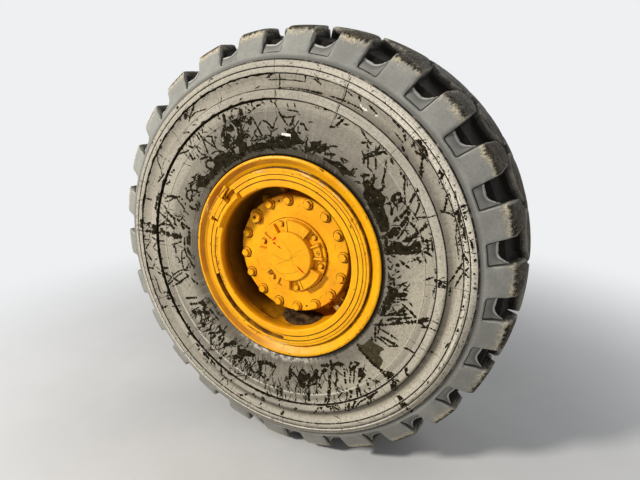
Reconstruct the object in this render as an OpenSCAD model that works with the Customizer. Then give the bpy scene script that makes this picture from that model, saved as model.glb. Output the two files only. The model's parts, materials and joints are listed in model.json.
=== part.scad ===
// Wheel of a heavy articulated hauler on the end of its axle: earthmover tyre, multi-piece rim,
// planetary hub, brake housing, axle arm and half shaft. Millimetres, +Z up, outboard side at -Y.
// Profiles are lists of [radius, out]: out is the distance outboard of the axle arm's mount face.
// Angles run anticlockwise from +X, as seen from the outboard side.

/* [Tyre] */
// Radius to the tips of the tread lugs, at the crown
tyre_r = 824; // [800:1:870]
// Width across the bulges of the two sidewalls
section_w = 614; // [606:1:660]
// Width of the tread between its two edges
tread_w = 448; // [400:1:480]
// Radius of the crown's curve across the tread
crown_curve = 1200; // [900:10:2000]
// Height of the lugs' side faces, from their foot up to the rounded shoulder
lug_side_h = 61; // [50:1:75]
// Drop from the tread's edge down to where the side faces start to be straight
shoulder_drop = 28; // [20:1:34]
// How far the sidewall raised band stands proud of the wall beside it
band_proud = 6; // [3:0.5:9]
// Thickness of the wall in the flank
wall_t = 32; // [24:1:40]
// Thickness of the casing and lugs at the crown
crown_t = 82; // [70:1:95]
// Number of lugs along each edge of the tread, with as many blocks along its middle
lug_count = 26; // [20:1:28]
// Depth of the grooves between lugs and blocks, at the crown
groove_depth = 40; // [30:1:44]
// Angle of the middle of the first groove between two lugs
groove_angle = 9; // [0:0.1:13]

/* [Rim] */
// Radius of the bead seats at the flanges
seat_r = 317.5; // [290:0.5:345]
// Width of the rim between the inside faces of its flanges
rim_w = 495; // [470:1:520]
// Height of the flanges over the bead seat
flange_h = 63.5; // [58:0.5:70]
// Distance from a flange's inside face out to its lip
lip_depth = 38; // [36:0.5:44]
// Height of the bead seats over the barrel's outside, where the bead seat band slides on
seat_h = 20.5; // [18:0.5:24]
// Wall of the barrel
barrel_t = 14; // [12:0.5:17]
// How far the gutter stands in from the barrel's inside
gutter_h = 11.5; // [8:0.5:15]
// Angle of the driver key
key_angle = 146.2; // [90:0.1:180]
// Angle at which the lock ring's gap starts
gap_angle = 197.5; // [190:0.5:215]
// Length of the lock ring's gap, in degrees
gap_sweep = 72.5; // [4:0.5:90]
// Angle of the valve and its guard
valve_angle = 321; // [290:1:350]

/* [Wheel seat] */
// Distance from the wheel disc's seat inboard to the middle of the rim
rim_offset = 46; // [30:1:60]
// Thickness of the wheel disc
disc_t = 22; // [16:1:28]
// Distance from the edge of the hub's wheel flange in to the circle of wheel studs
stud_edge = 19; // [17:0.5:22]
// Number of wheel studs
stud_count = 16; // [8:1:16]
// Radius of a wheel stud
stud_r = 10.9; // [8:0.1:12]

/* [Hub] */
// Distance from the circle of wheel studs in to the pilot that centres the wheel disc
pilot_edge = 21.3; // [18:0.1:26]
// Height of the pilot over the wheel seat
pilot_h = 14; // [8:1:20]
// Gap between the hub's wheel flange and the barrel
hub_flange_gap = 10; // [6:0.5:14]
// Thickness of the hub's wheel flange
hub_flange_t = 24; // [18:1:30]
// Radius of the hub's inboard barrel
hub_barrel_r = 190; // [180:1:200]
// Length of the hub's inboard barrel
hub_barrel_len = 82; // [70:1:90]
// Length of the planet housing
housing_len = 113; // [95:1:130]
// Step from the pilot in to the planet housing's flange
housing_step = 1.7; // [0.5:0.1:4]
// Step from the planet housing's flange in to its body
housing_waist = 16; // [12:1:22]
// Length of the planet housing's flange
housing_flange_len = 38; // [25:1:50]
// Wall of the planet housing's body
housing_wall = 35; // [25:1:42]

/* [Hub cover] */
// Step from the planet housing's flange in to the carrier cover
cover_step = 2; // [0.5:0.5:5]
// Thickness of the carrier cover
cover_t = 22; // [18:1:30]
// Distance from the cover's edge in to the circle of cover bolts
cover_bolt_edge = 19; // [17:0.5:22]
// Radius of a cover bolt's thread
cover_bolt_r = 8; // [6:0.5:9]
// Places on the circle of cover bolts, one of which holds the drain plug
cover_bolt_count = 16; // [8:1:18]
// Angle of the first cover bolt
cover_bolt_angle = 116.9; // [100:0.1:130]
// Radius of the hub cap's flange
cap_flange_r = 143; // [138:0.5:150]
// Thickness of the hub cap's flange
cap_flange_t = 12; // [8:1:16]
// Radius of the hub cap's raised face
cap_face_r = 94.5; // [85:0.5:100]
// Height of the hub cap's raised face over the cover
cap_h = 41; // [32:1:50]
// Distance from the edge of the cap's flange in to the circle of cap bolts
cap_bolt_edge = 16; // [13:0.5:18]
// Radius of a cap bolt's thread
cap_bolt_r = 5; // [4:0.5:6]

/* [Axle end] */
// Radius of the spindle's journal
journal_r = 95; // [85:0.5:105]
// Radius of the spindle's bore
spindle_bore_r = 40; // [35:0.5:50]
// Wall of the brake housing around the hub's barrel, with the gap between them
brake_wall = 45; // [38:1:55]
// Length of the brake housing
brake_len = 140; // [120:1:160]
// How far the hub's barrel goes into the mouth of the brake housing
mouth_depth = 15; // [12:0.5:20]
// Length of the axle arm, with both its flanges
arm_len = 170; // [150:1:175]
// Distance from the circle of bolts on the arm's outboard flange in to the arm's side
arm_bolt_step = 32; // [28:1:38]
// Radius of the axle arm beside the mount flange
arm_neck_r = 128; // [115:1:138]
// Radius of the axle arm's bore
arm_bore_r = 60; // [50:1:80]
// Radius of the mount flange
mount_flange_r = 200; // [194:1:220]
// Thickness of the mount flange
mount_flange_t = 28; // [20:1:35]
// Distance from the mount flange's edge in to the circle of mount holes
mount_edge = 25; // [18:0.5:32]
// Number of mount holes
mount_count = 16; // [8:1:20]
// Radius of a mount hole
mount_hole_r = 9.5; // [7:0.5:11]
// Radius of the half shaft
shaft_r = 30; // [24:0.5:34]
// How far the half shaft's splines stand out of the mount face
spline_len = 60; // [40:1:90]
// Number of splines
spline_count = 20; // [12:1:28]

/* [Hidden] */
$fn = 96;
hex = 6;
// gap between pieces that are seated on each other
seat_gap = 0.3;
// radial gap of a shaft in its bearing or seal
run_gap = 0.05;
// gap between a turning piece and a fixed one
turn_gap = 5;
// gap around a bolt in its hole
bolt_gap = 0.4;
brake_back_out = arm_len;
brake_front_out = brake_back_out + brake_len;
hub_back_out = brake_front_out - mouth_depth;
wheel_seat_out = hub_back_out + hub_barrel_len + hub_flange_t;
mid_out = wheel_seat_out - rim_offset;
inside_out = mid_out + rim_w / 2;
lip_out = inside_out + lip_depth;
back_lip_out = 2 * mid_out - lip_out;
flange_r = seat_r + flange_h;
disc_out = wheel_seat_out + disc_t;
housing_out = wheel_seat_out + pilot_h;
cover_back_out = housing_out + housing_len;
cover_out = cover_back_out + cover_t;
cap_out = cover_out + cap_flange_t;
spindle_end_out = housing_out + 5;
barrel_out_r = seat_r - seat_h;
barrel_r = barrel_out_r - barrel_t;
opening_r = barrel_r - gutter_h;
hub_flange_r = barrel_r - hub_flange_gap;
stud_circle_r = hub_flange_r - stud_edge;
pilot_r = stud_circle_r - pilot_edge;
housing_flange_r = pilot_r - housing_step;
housing_r = housing_flange_r - housing_waist;
cover_r = housing_flange_r - cover_step;
cover_bolt_circle_r = cover_r - cover_bolt_edge;
cap_bolt_circle_r = cap_flange_r - cap_bolt_edge;
brake_r = hub_barrel_r + brake_wall;
// bolts on the brake housing's back, around the arm's outboard flange with its own bolts
brake_bolt_edge = 15;
brake_bolt_r = 8.5;
arm_flange_gap = 5.5;
arm_flange_edge = 26;
brake_bolt_circle_r = brake_r - brake_bolt_edge;
arm_flange_r = brake_bolt_circle_r - brake_bolt_r - arm_flange_gap;
arm_bolt_circle_r = arm_flange_r - arm_flange_edge;
arm_r = arm_bolt_circle_r - arm_bolt_step;
mount_circle_r = mount_flange_r - mount_edge;
bead_taper = 5;
bead_w = 62;
bead_toe_r = seat_r - bead_w * tan(bead_taper);
// depth of the gutter, lock ring and band faces behind the flange's lip
gutter_in = 3.5;
ring_in = 3;
band_in = 2;
ring_groove = 4;
ring_groove_r = barrel_out_r - ring_groove;
ring_in_r = barrel_out_r + 2.3;
ring_out_r = seat_r - 2.2;
band_stop_h = 20.5;
band_stop_r = seat_r + band_stop_h;
band_w = 112;
flange_foot_in = 20;
// distance of the heel inside a flange's face from its rim
flange_heel = 25;

paint = "gold";
axle_paint = "dimgray";

// Stands local +Z outboard, along -Y, with local +Y up.
module on_axle() {
    rotate([90, 0, 0]) children();
}

// A ring or an arc of a ring with the given [radius, out] profile.
module turned(profile, from = 0, sweep = 360) {
    on_axle() rotate([0, 0, from]) rotate_extrude(angle = sweep) polygon(profile);
}

// Puts children at a radius and angle, with local X radial and local Z outboard.
module at(r, angle, out) {
    on_axle() rotate([0, 0, angle]) translate([r, 0, out]) children();
}

// The same profile on the other side of the rim's middle.
function other_side(profile) = [for (p = profile) [p[0], 2 * mid_out - p[1]]];

function reversed(list) = [for (i = [len(list) - 1 : -1 : 0]) list[i]];

// Points along a smooth bend from p to q that heads for corner c.
function bend(p, c, q, steps) = [for (i = [0 : steps])
    let (t = i / steps) (1 - t) * (1 - t) * p + 2 * t * (1 - t) * c + t * t * q];

// Radius of the tread's surface at a distance across from its middle.
function crown_r_at(across) = tyre_r - crown_curve + sqrt(crown_curve * crown_curve - across * across);

tread_edge_r = crown_r_at(tread_w / 2);
lug_top_r = tread_edge_r - shoulder_drop;
lug_foot_r = lug_top_r - lug_side_h;
bulge_out = mid_out + section_w / 2;
lug_foot_out = bulge_out - 22;
lug_top_out = lug_foot_out - 34;

// Rings of the sidewall: [distance below the lugs' foot, depth behind the bulge].
sidewall_rings = [
    [184, 9], [145, 1 + band_proud], [144, 0], [115, 0], [114, 4], [106, 10], [90, 14],
    [73, 10], [65, 6], [64, 9.5], [62.5, 4], [46, 4], [44.5, 8], [43, 7.5], [42, 3],
    [36, 3.5], [24, 8], [22.5, 10], [20.5, 16], [17, 18]
];

// Side of the groove floor: [height over the lugs' foot, depth behind it]. A shallow pocket between
// two lugs ends in a lip, and behind that is the deep groove.
pocket_floor = [[-2, -0.6], [3, 8], [31, 35.5], [32, 55], [50, 65]];

// Points of the crown's curve, less some depth, from a distance across to the middle.
function crown_points(from, depth, steps) = [for (i = [0 : steps])
    let (across = from * (1 - i / steps)) [crown_r_at(across) - depth, mid_out + across]];

floor_from = tread_w / 2 - 41;
tyre_outside = concat(
    [[bead_toe_r + seat_gap, inside_out - bead_w],
        [seat_r + seat_gap, inside_out - seat_gap],
        [flange_r - flange_heel + 1, inside_out - seat_gap],
        [flange_r, inside_out + lip_depth * 0.65],
        [flange_r + 5, lip_out - 5],
        [flange_r + 30, bulge_out - 17]],
    [for (ring = sidewall_rings) [lug_foot_r - ring[0], bulge_out - ring[1]]],
    [for (step = pocket_floor) [lug_foot_r + step[0], lug_foot_out - step[1]]],
    crown_points(floor_from, groove_depth, 3)
);

tyre_inside = [
    [bead_toe_r + 30, inside_out - bead_w],
    [flange_r + 60, bulge_out - wall_t - 16],
    [lug_foot_r - 150, bulge_out - wall_t - 8],
    [lug_foot_r - 60, bulge_out - wall_t - 22],
    [lug_foot_r + 5, bulge_out - wall_t - 70],
    [tyre_r - crown_t - 8, mid_out + tread_w * 0.25],
    [tyre_r - crown_t, mid_out]
];

// A profile's list from the outboard side to the middle, carried on to the other side.
function both_sides(profile) = concat(profile,
    other_side(reversed([for (i = [0 : len(profile) - 2]) profile[i]])));

// Half sections of what the lugs and blocks are cut from: its outside, and its core in the casing.
tread_outside = concat(
    [[lug_foot_r - 5, lug_foot_out - 4], [lug_foot_r + 0.5, lug_foot_out - 0.3]],
    bend([lug_top_r, lug_top_out], [lug_top_r + shoulder_drop * 0.75, lug_top_out - 14],
        [tread_edge_r, mid_out + tread_w / 2], 3),
    [for (i = [1 : 3]) crown_points(tread_w / 2, 0, 3)[i]]
);
tread_core = [
    [lug_foot_r - 9, lug_foot_out - 12],
    [lug_foot_r + 14, lug_foot_out - 50],
    [tyre_r - crown_t + 8, mid_out + tread_w * 0.36],
    [tyre_r - crown_t + 12, mid_out]
];

// Plans of a lug and of half a block: [half the width as a share of the pitch, share of the way
// from the tread's middle to its edge].
lug_plan = [[0.28, 1.4], [0.266, 0.99], [0.219, 0.53], [0.039, 0.28]];
block_plan = [[0.171, 0.47], [0.412, 0.134]];

// Stands a plan of lug_plan's columns on the tyre, from below the grooves out to over the crown.
module stood_on_tread(plan, angle, side) {
    pitch = 2 * PI * tyre_r / lug_count;
    low_r = lug_foot_r - 16;
    outline = [for (p = plan) [side * p[1] * tread_w / 2, p[0] * pitch]];
    at(low_r, angle, mid_out) rotate([0, 90, 0]) linear_extrude(tyre_r + 10 - low_r)
        polygon(concat(outline, reversed([for (p = outline) [p[0], -p[1]]])));
}

// Casing with the floor of the tread's grooves, and the lugs and blocks that stand on it.
module tyre() {
    lug_step = 360 / lug_count;
    color("dimgray") union() {
        turned(concat(both_sides(tyre_outside), reversed(both_sides(tyre_inside))));
        intersection() {
            turned(concat(both_sides(tread_outside), reversed(both_sides(tread_core))));
            union() for (i = [0 : lug_count - 1]) {
                for (side = [-1, 1]) stood_on_tread(lug_plan, groove_angle + (i + 0.5) * lug_step, side);
                stood_on_tread(concat(block_plan, [for (p = reversed(block_plan)) [p[0], -p[1]]]),
                    groove_angle + i * lug_step, 1);
            }
        }
    }
}

// Barrel with the gutter on its outboard end and the fixed bead seat on its inboard end.
module rim_base() {
    color(paint) turned([
        [opening_r, lip_out - 9],
        [opening_r + 2, lip_out - 5],
        [opening_r + 5, lip_out - gutter_in],
        [barrel_out_r, lip_out - gutter_in],
        [barrel_out_r, lip_out - 7],
        [ring_groove_r, lip_out - 9],
        [ring_groove_r, lip_out - 22],
        [barrel_out_r, lip_out - 24],
        [barrel_out_r, back_lip_out + band_w + 8],
        [bead_toe_r - 4, back_lip_out + band_w],
        [bead_toe_r, back_lip_out + lip_depth + bead_w],
        [seat_r, back_lip_out + lip_depth],
        [seat_r, back_lip_out + flange_foot_in],
        [band_stop_r, back_lip_out + flange_foot_in],
        [band_stop_r, back_lip_out + 5],
        [band_stop_r - 3, back_lip_out + band_in],
        [opening_r + 8, back_lip_out + band_in],
        [opening_r + 5, back_lip_out + 5],
        [opening_r + 5, back_lip_out + 40],
        [barrel_r, back_lip_out + 60],
        [barrel_r, lip_out - 70],
        [opening_r, lip_out - 48]
    ]);
}

// Thick ring welded into the barrel, which the wheel studs go through.
module wheel_disc() {
    weld = 9;
    color(paint) difference() {
        turned([
            [pilot_r + seat_gap, wheel_seat_out],
            [barrel_r - 0.2, wheel_seat_out],
            [barrel_r - 0.2, disc_out + weld],
            [barrel_r - weld, disc_out],
            [pilot_r + seat_gap, disc_out]
        ]);
        for (i = [0 : stud_count - 1])
            at(stud_circle_r, i * 360 / stud_count, wheel_seat_out - 1)
                cylinder(r = stud_r + 0.6, h = disc_t + 2);
    }
}

// Loose flange that holds the side of the tyre's bead, with its rolled lip.
flange_profile = [
    [seat_r + seat_gap, inside_out],
    [seat_r + seat_gap, lip_out - flange_foot_in - seat_gap],
    [band_stop_r + 3, lip_out - flange_foot_in - seat_gap],
    [band_stop_r + 14, lip_out - 13],
    [flange_r - 17, lip_out - 4.5],
    [flange_r - 12, lip_out - 1.2],
    [flange_r - 7, lip_out],
    [flange_r - 2, lip_out - 2],
    [flange_r, lip_out - 6],
    [flange_r - 1, lip_out - 10],
    [flange_r - 9, lip_out - 17],
    [flange_r - flange_heel + 5, inside_out + 8],
    [flange_r - flange_heel, inside_out]
];

module outer_flange() {
    color(paint) turned(flange_profile);
}

module inner_flange() {
    color(paint) turned(other_side(flange_profile));
}

// Pockets on both sides of the driver key: [start, sweep] from the key's middle, in degrees.
key_pockets = [[-17.5, 9.5], [5.5, 5.5]];

module key_pocket_cuts() {
    for (pocket = key_pockets)
        turned([
            [ring_in_r, lip_out - 18],
            [band_stop_r - 15, lip_out - 18],
            [band_stop_r - 15, lip_out + 1],
            [ring_in_r, lip_out + 1]
        ], key_angle + pocket[0], pocket[1]);
}

// Tapered band that carries the outboard bead, with its stop for the outer flange.
module bead_seat_band() {
    color(paint) difference() {
        turned([
            [ring_out_r + seat_gap, lip_out - 22.4],
            [ring_out_r + seat_gap, lip_out - 8],
            [ring_out_r + 1.7, lip_out - 7],
            [ring_out_r + 1.7, lip_out - band_in],
            [seat_r + 9, lip_out - band_in],
            [seat_r + 9.5, lip_out - band_in - 2.5],
            [band_stop_r - 1, lip_out - band_in - 2.5],
            [band_stop_r, lip_out - 6],
            [band_stop_r, lip_out - flange_foot_in],
            [seat_r, lip_out - flange_foot_in],
            [seat_r, inside_out],
            [bead_toe_r, inside_out - bead_w],
            [bead_toe_r - 4, lip_out - band_w],
            [barrel_out_r + seat_gap, lip_out - band_w - 2],
            [barrel_out_r + seat_gap, lip_out - 24.4]
        ]);
        key_pocket_cuts();
    }
}

// Split ring that locks the band onto the gutter.
module lock_ring() {
    color(paint) difference() {
        turned([
            [ring_in_r, lip_out - ring_in],
            [ring_out_r - 1, lip_out - ring_in],
            [ring_out_r, lip_out - ring_in - 1],
            [ring_out_r, lip_out - 22],
            [ring_groove_r + seat_gap, lip_out - 21],
            [ring_groove_r + seat_gap, lip_out - 10],
            [ring_in_r, lip_out - 8]
        ], gap_angle + gap_sweep, 360 - gap_sweep);
        key_pocket_cuts();
    }
}

// the key's plate, the wings at the plate's outer edge, and the bar on the gutter
key_plate_w = 82;
key_plate_t = 12;
key_plate_over = 4;
key_wing_from = -90;
key_wing_to = 64;
key_wing_w = 15;
key_wing_t = 9;
key_bar_from = -19.7;
key_bar_sweep = 32;
key_bar_h = 20;
key_bar_round = 3;
key_bar_edge = 6;

// Key that stops the band and lock ring from creeping round on the gutter.
module driver_key() {
    base = lip_out - band_in;
    gutter = lip_out - gutter_in;
    plate_in_r = barrel_out_r - key_bar_edge - key_bar_round;
    plate_out_r = band_stop_r + key_plate_over;
    color(paint) union() {
        at(plate_in_r, key_angle, base)
            translate([0, -key_plate_w / 2, 0]) cube([plate_out_r - plate_in_r, key_plate_w, key_plate_t]);
        at(band_stop_r + 1 - key_wing_w, key_angle, base)
            translate([0, key_wing_from, 0]) cube([key_wing_w, key_wing_to - key_wing_from, key_wing_t]);
        turned([
            [opening_r + key_bar_round, gutter],
            [barrel_out_r - 1, gutter],
            [barrel_out_r - 2, gutter + key_bar_h * 0.4],
            [barrel_out_r - key_bar_edge, gutter + key_bar_h - key_bar_round],
            [barrel_out_r - key_bar_edge - key_bar_round, gutter + key_bar_h],
            [opening_r + key_bar_edge + key_bar_round, gutter + key_bar_h],
            [opening_r + key_bar_edge, gutter + key_bar_h - key_bar_round]
        ], key_angle + key_bar_from, key_bar_sweep);
    }
}

valve_stand = 21;
valve_r = barrel_r - valve_stand;

// Bent valve stem on the barrel's wall, with its cap facing outboard.
module valve_stem() {
    stem_r = 7;
    elbow_in = 158;
    cap_in = 62;
    nut_h = 7;
    color("goldenrod") union() {
        at(valve_r, valve_angle, lip_out - elbow_in) cylinder(r = stem_r, h = elbow_in - cap_in);
        at(valve_r, valve_angle, lip_out - cap_in) cylinder(r = stem_r + 2, h = 14);
        at(valve_r, valve_angle, lip_out - elbow_in)
            rotate([0, 90, 0]) cylinder(r = stem_r + 1, h = barrel_r - valve_r - 1);
        at(barrel_r - 1 - nut_h, valve_angle, lip_out - elbow_in)
            rotate([0, 90, 0]) cylinder(r = 13, h = nut_h, $fn = hex);
    }
}

// Sheet metal guard beside the valve.
module valve_guard() {
    plate_t = 3;
    foot_r = barrel_r - seat_gap;
    from_in = 122;
    to_in = 72;
    guard_h = 35;
    color(paint) union() {
        turned([
            [foot_r - plate_t, lip_out - from_in],
            [foot_r, lip_out - from_in],
            [foot_r, lip_out - to_in],
            [foot_r - plate_t, lip_out - to_in]
        ], valve_angle - 8, 27);
        for (side = [-5.5, 5.5])
            at(foot_r - guard_h, valve_angle + side, lip_out - from_in)
                translate([0, -plate_t / 2, 0]) cube([guard_h - 1, plate_t, from_in - to_in]);
    }
}

// Bearing hub with the flange that the wheel disc is bolted to.
module hub() {
    bore_r = journal_r + run_gap;
    flange_back_out = wheel_seat_out - hub_flange_t;
    color(paint) difference() {
        turned([
            [bore_r, hub_back_out],
            [hub_barrel_r, hub_back_out],
            [hub_barrel_r, flange_back_out - 12],
            [hub_barrel_r + 12, flange_back_out],
            [hub_flange_r, flange_back_out],
            [hub_flange_r, wheel_seat_out],
            [pilot_r, wheel_seat_out],
            [pilot_r, housing_out],
            [bore_r, housing_out]
        ]);
        for (i = [0 : stud_count - 1])
            at(stud_circle_r, i * 360 / stud_count, flange_back_out - 1)
                cylinder(r = stud_r + 0.1, h = hub_flange_t + 2);
    }
}

// Wheel studs with their heads behind the hub flange and their nuts on the disc.
module wheel_nuts() {
    nut_r = stud_r * 1.7;
    nut_h = stud_r * 1.65;
    head_r = stud_r * 1.47;
    head_h = stud_r * 0.92;
    stud_end = stud_r * 0.7;
    flange_back_out = wheel_seat_out - hub_flange_t;
    color(paint) for (i = [0 : stud_count - 1]) {
        at(stud_circle_r, i * 360 / stud_count, flange_back_out - head_h)
            cylinder(r = stud_r, h = head_h + hub_flange_t + disc_t + nut_h + stud_end);
        at(stud_circle_r, i * 360 / stud_count, flange_back_out - head_h) cylinder(r = head_r, h = head_h);
        at(stud_circle_r, i * 360 / stud_count, disc_out) cylinder(r = nut_r, h = nut_h, $fn = hex);
    }
}

// how far the cover bolts reach into the planet housing, and the depth of their holes there
cover_bolt_grip = 13;
cover_bolt_end = cover_bolt_grip + 5;
// how far the cap bolts reach into the cover, and the depth of their holes there
cap_bolt_grip = 12;
cap_bolt_end = cap_bolt_grip + 3;

// Angle of each place on the circle of cover bolts. The last one holds the drain plug.
function cover_bolt_at(i) = cover_bolt_angle - i * 360 / cover_bolt_count;

// Ring that holds the planet gears' ring gear.
module planet_housing() {
    bore_r = housing_r - housing_wall;
    color(paint) difference() {
        turned([
            [bore_r, housing_out],
            [housing_r, housing_out],
            [housing_r, cover_back_out - housing_flange_len - 10],
            [housing_flange_r, cover_back_out - housing_flange_len],
            [housing_flange_r, cover_back_out],
            [bore_r, cover_back_out]
        ]);
        for (i = [0 : cover_bolt_count - 2])
            at(cover_bolt_circle_r, cover_bolt_at(i), cover_back_out - cover_bolt_end)
                cylinder(r = cover_bolt_r + bolt_gap, h = cover_bolt_end + 1);
    }
}

// Plain block for the planet gears and their carrier, closed inside the housing.
module planet_carrier() {
    from_out = spindle_end_out + turn_gap + 3;
    color("silver") turned([
        [spindle_bore_r, from_out],
        [housing_r - housing_wall - turn_gap, from_out],
        [housing_r - housing_wall - turn_gap, cover_back_out],
        [spindle_bore_r, cover_back_out]
    ]);
}

// the drain plug's thread, flange and hexagon, and the boss that it is screwed into
plug_thread_r = 14;
plug_thread_len = 13;
plug_flange_r = 28;
plug_flange_t = 5;
plug_hex_r = 22;
plug_h = 19;
plug_boss_r = 31;
plug_socket = 13;
plug_in = 5;
plug_r = cover_bolt_circle_r - plug_in;
dowel_r = 4.5;
dowel_depth = 10;
plug_angle = cover_bolt_at(cover_bolt_count - 1);
dowel_angles = [105.6, 285.6];
// middles of the three pairs of cap bolts, and half the angle between the bolts of a pair
cap_pairs = [14.5, 134.5, 254.5];
cap_pair_half_angle = 25.5;

// Cover that closes the hub, with its bolt, plug and dowel holes.
module carrier_cover() {
    chamfer = 3;
    color(paint) difference() {
        union() {
            turned([
                [0, cover_back_out],
                [cover_r, cover_back_out],
                [cover_r, cover_out - chamfer],
                [cover_r - chamfer, cover_out],
                [0, cover_out]
            ]);
            at(plug_r, plug_angle, cover_back_out) cylinder(r = plug_boss_r, h = cover_t);
        }
        for (i = [0 : cover_bolt_count - 2])
            at(cover_bolt_circle_r, cover_bolt_at(i), cover_back_out - 1)
                cylinder(r = cover_bolt_r + bolt_gap, h = cover_t + 2);
        for (angle = dowel_angles)
            at(cover_bolt_circle_r, angle, cover_out - dowel_depth)
                cylinder(r = dowel_r, h = dowel_depth + 1);
        for (middle = cap_pairs, side = [-1, 1])
            at(cap_bolt_circle_r, middle + side * cap_pair_half_angle, cover_out - cap_bolt_end)
                cylinder(r = cap_bolt_r + bolt_gap, h = cap_bolt_end + 1);
        at(plug_r, plug_angle, cover_out - plug_thread_len - 1)
            cylinder(r = plug_thread_r + bolt_gap, h = plug_thread_len + 2);
    }
}

// Hexagon bolt with a flange under its head, standing on local Z = 0.
module flange_bolt(shank_r, shank_len, head_flange_r) {
    head_r = shank_r * 1.73;
    head_h = shank_r * 1.9;
    head_flange_t = head_h * 0.25;
    translate([0, 0, -shank_len]) cylinder(r = shank_r, h = shank_len + head_h / 2);
    cylinder(r1 = head_flange_r, r2 = head_flange_r - shank_r * 0.2, h = head_flange_t);
    cylinder(r = head_r, h = head_h, $fn = hex);
}

module cover_bolts() {
    color(paint) for (i = [0 : cover_bolt_count - 2])
        at(cover_bolt_circle_r, cover_bolt_at(i), cover_out)
            flange_bolt(cover_bolt_r, cover_t + cover_bolt_grip, cover_bolt_r * 2.4);
}

module drain_plug() {
    color(paint) difference() {
        at(plug_r, plug_angle, cover_out) union() {
            translate([0, 0, -plug_thread_len]) cylinder(r = plug_thread_r, h = plug_thread_len + 1);
            cylinder(r = plug_flange_r, h = plug_flange_t);
            cylinder(r = plug_hex_r, h = plug_h, $fn = hex);
        }
        at(plug_r, plug_angle, cover_out + plug_h / 2)
            translate([-plug_socket / 2, -plug_socket / 2, 0]) cube([plug_socket, plug_socket, plug_h]);
    }
}

// width of the ledge outside the arcs, and distance of the small plug from the raised face
cap_ledge_w = 5;
cap_plug_off = 22;
// heights over the cap's flange: arcs, their end ribs, the pockets' ribs and the middle bosses
cap_arc_h = 18;
cap_rib_h = 21;
cap_pocket_h = 16;
cap_boss_h = 9;
cap_taper = 2;

// Raised arc on the hub cap: profile from one radius to another, tapered towards its top.
module cap_arc(r_in, r_out, h, middle, half) {
    turned([
        [r_in, cap_out - 1],
        [r_out, cap_out - 1],
        [r_out - cap_taper, cap_out + h],
        [r_in, cap_out + h]
    ], middle - half, 2 * half);
}

// Cast cap with three raised arcs and, between them, the pockets of its bolts.
module hub_cap() {
    arc_half_angle = 21;
    boss_half_angle = 12;
    rib_half_angle = 2;
    arc_out_r = cap_flange_r - cap_ledge_w;
    boss_out_r = arc_out_r - 7;
    color(paint) difference() {
        union() {
            turned([
                [0, cover_out],
                [cap_flange_r, cover_out],
                [cap_flange_r, cap_out - 2],
                [cap_flange_r - 2, cap_out],
                [cap_face_r + 4, cap_out],
                [cap_face_r, cover_out + cap_h - 3],
                [cap_face_r - 3, cover_out + cap_h],
                [0, cover_out + cap_h]
            ]);
            for (middle = cap_pairs) {
                cap_arc(cap_face_r, arc_out_r, cap_arc_h, middle + 60, arc_half_angle);
                for (side = [-1, 1]) {
                    cap_arc(cap_face_r, arc_out_r, cap_rib_h, middle + 60 + side * arc_half_angle,
                        rib_half_angle);
                    cap_arc(cap_face_r, arc_out_r - cap_taper, cap_pocket_h, middle + side * boss_half_angle,
                        rib_half_angle);
                }
                cap_arc(cap_face_r, boss_out_r, cap_boss_h, middle, boss_half_angle);
            }
        }
        for (middle = cap_pairs, side = [-1, 1])
            at(cap_bolt_circle_r, middle + side * cap_pair_half_angle, cover_out - 1)
                cylinder(r = cap_bolt_r + bolt_gap, h = cap_flange_t + 2);
    }
}

module cap_bolts() {
    color(paint) for (middle = cap_pairs, side = [-1, 1])
        at(cap_bolt_circle_r, middle + side * cap_pair_half_angle, cap_out)
            flange_bolt(cap_bolt_r, cap_flange_t + cap_bolt_grip, cap_bolt_r * 2.1);
}

module cap_plug() {
    body_r = 7;
    body_h = 4;
    color(paint) at(cap_face_r + cap_plug_off, cap_pairs[0] - 2, cap_out + cap_boss_h) difference() {
        cylinder(r = body_r, h = body_h);
        translate([0, 0, body_h / 4]) cylinder(r = body_r / 2, h = body_h, $fn = hex);
    }
}

// Fixed tube that the hub turns on, with the shoulder that the brake housing is fitted to.
module spindle() {
    shoulder_out = hub_back_out - 2 * turn_gap;
    color(axle_paint) turned([
        [spindle_bore_r, brake_back_out],
        [arm_r, brake_back_out],
        [arm_r, shoulder_out],
        [journal_r, shoulder_out],
        [journal_r, spindle_end_out],
        [spindle_bore_r, spindle_end_out]
    ]);
}

// Housing of the oil-cooled brake. The hub's barrel turns in its mouth.
module brake_housing() {
    mouth_r = hub_barrel_r + turn_gap;
    mouth_out = hub_back_out - 2 * turn_gap;
    color(axle_paint) difference() {
        turned([
            [arm_r, brake_back_out],
            [brake_r - 6, brake_back_out],
            [brake_r, brake_back_out + 6],
            [brake_r, brake_front_out - 30],
            [brake_r - 18, brake_front_out],
            [mouth_r, brake_front_out],
            [mouth_r, mouth_out],
            [arm_r, mouth_out]
        ]);
        turned([
            [brake_r - 5, brake_back_out + 48],
            [brake_r + 1, brake_back_out + 42],
            [brake_r + 1, brake_back_out + 66],
            [brake_r - 5, brake_back_out + 60]
        ]);
    }
}

brake_bolt_count = 18;
brake_bolt_h = 9;
// angles of the hose fittings, and their sizes
fitting_angles = [52, 112];
fitting_r = 8;
fitting_hex_r = 12;
fitting_len = 34;
fitting_hex_h = 16;

module brake_bolts() {
    color(axle_paint) for (i = [0 : brake_bolt_count - 1])
        at(brake_bolt_circle_r, 2 + i * 360 / brake_bolt_count, brake_back_out - brake_bolt_h)
            cylinder(r = brake_bolt_r, h = brake_bolt_h, $fn = hex);
}

// Hose fittings of the brake: supply and cooling oil.
module brake_fittings() {
    color("silver") for (angle = fitting_angles)
        at(brake_bolt_circle_r, angle, brake_back_out - fitting_len) union() {
            cylinder(r = fitting_r, h = fitting_len);
            translate([0, 0, fitting_len - fitting_hex_h])
                cylinder(r = fitting_hex_r, h = fitting_hex_h, $fn = hex);
        }
}

arm_flange_t = 25;
arm_bolt_count = 16;
arm_bolt_r = 12;
arm_bolt_h = 12;

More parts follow.
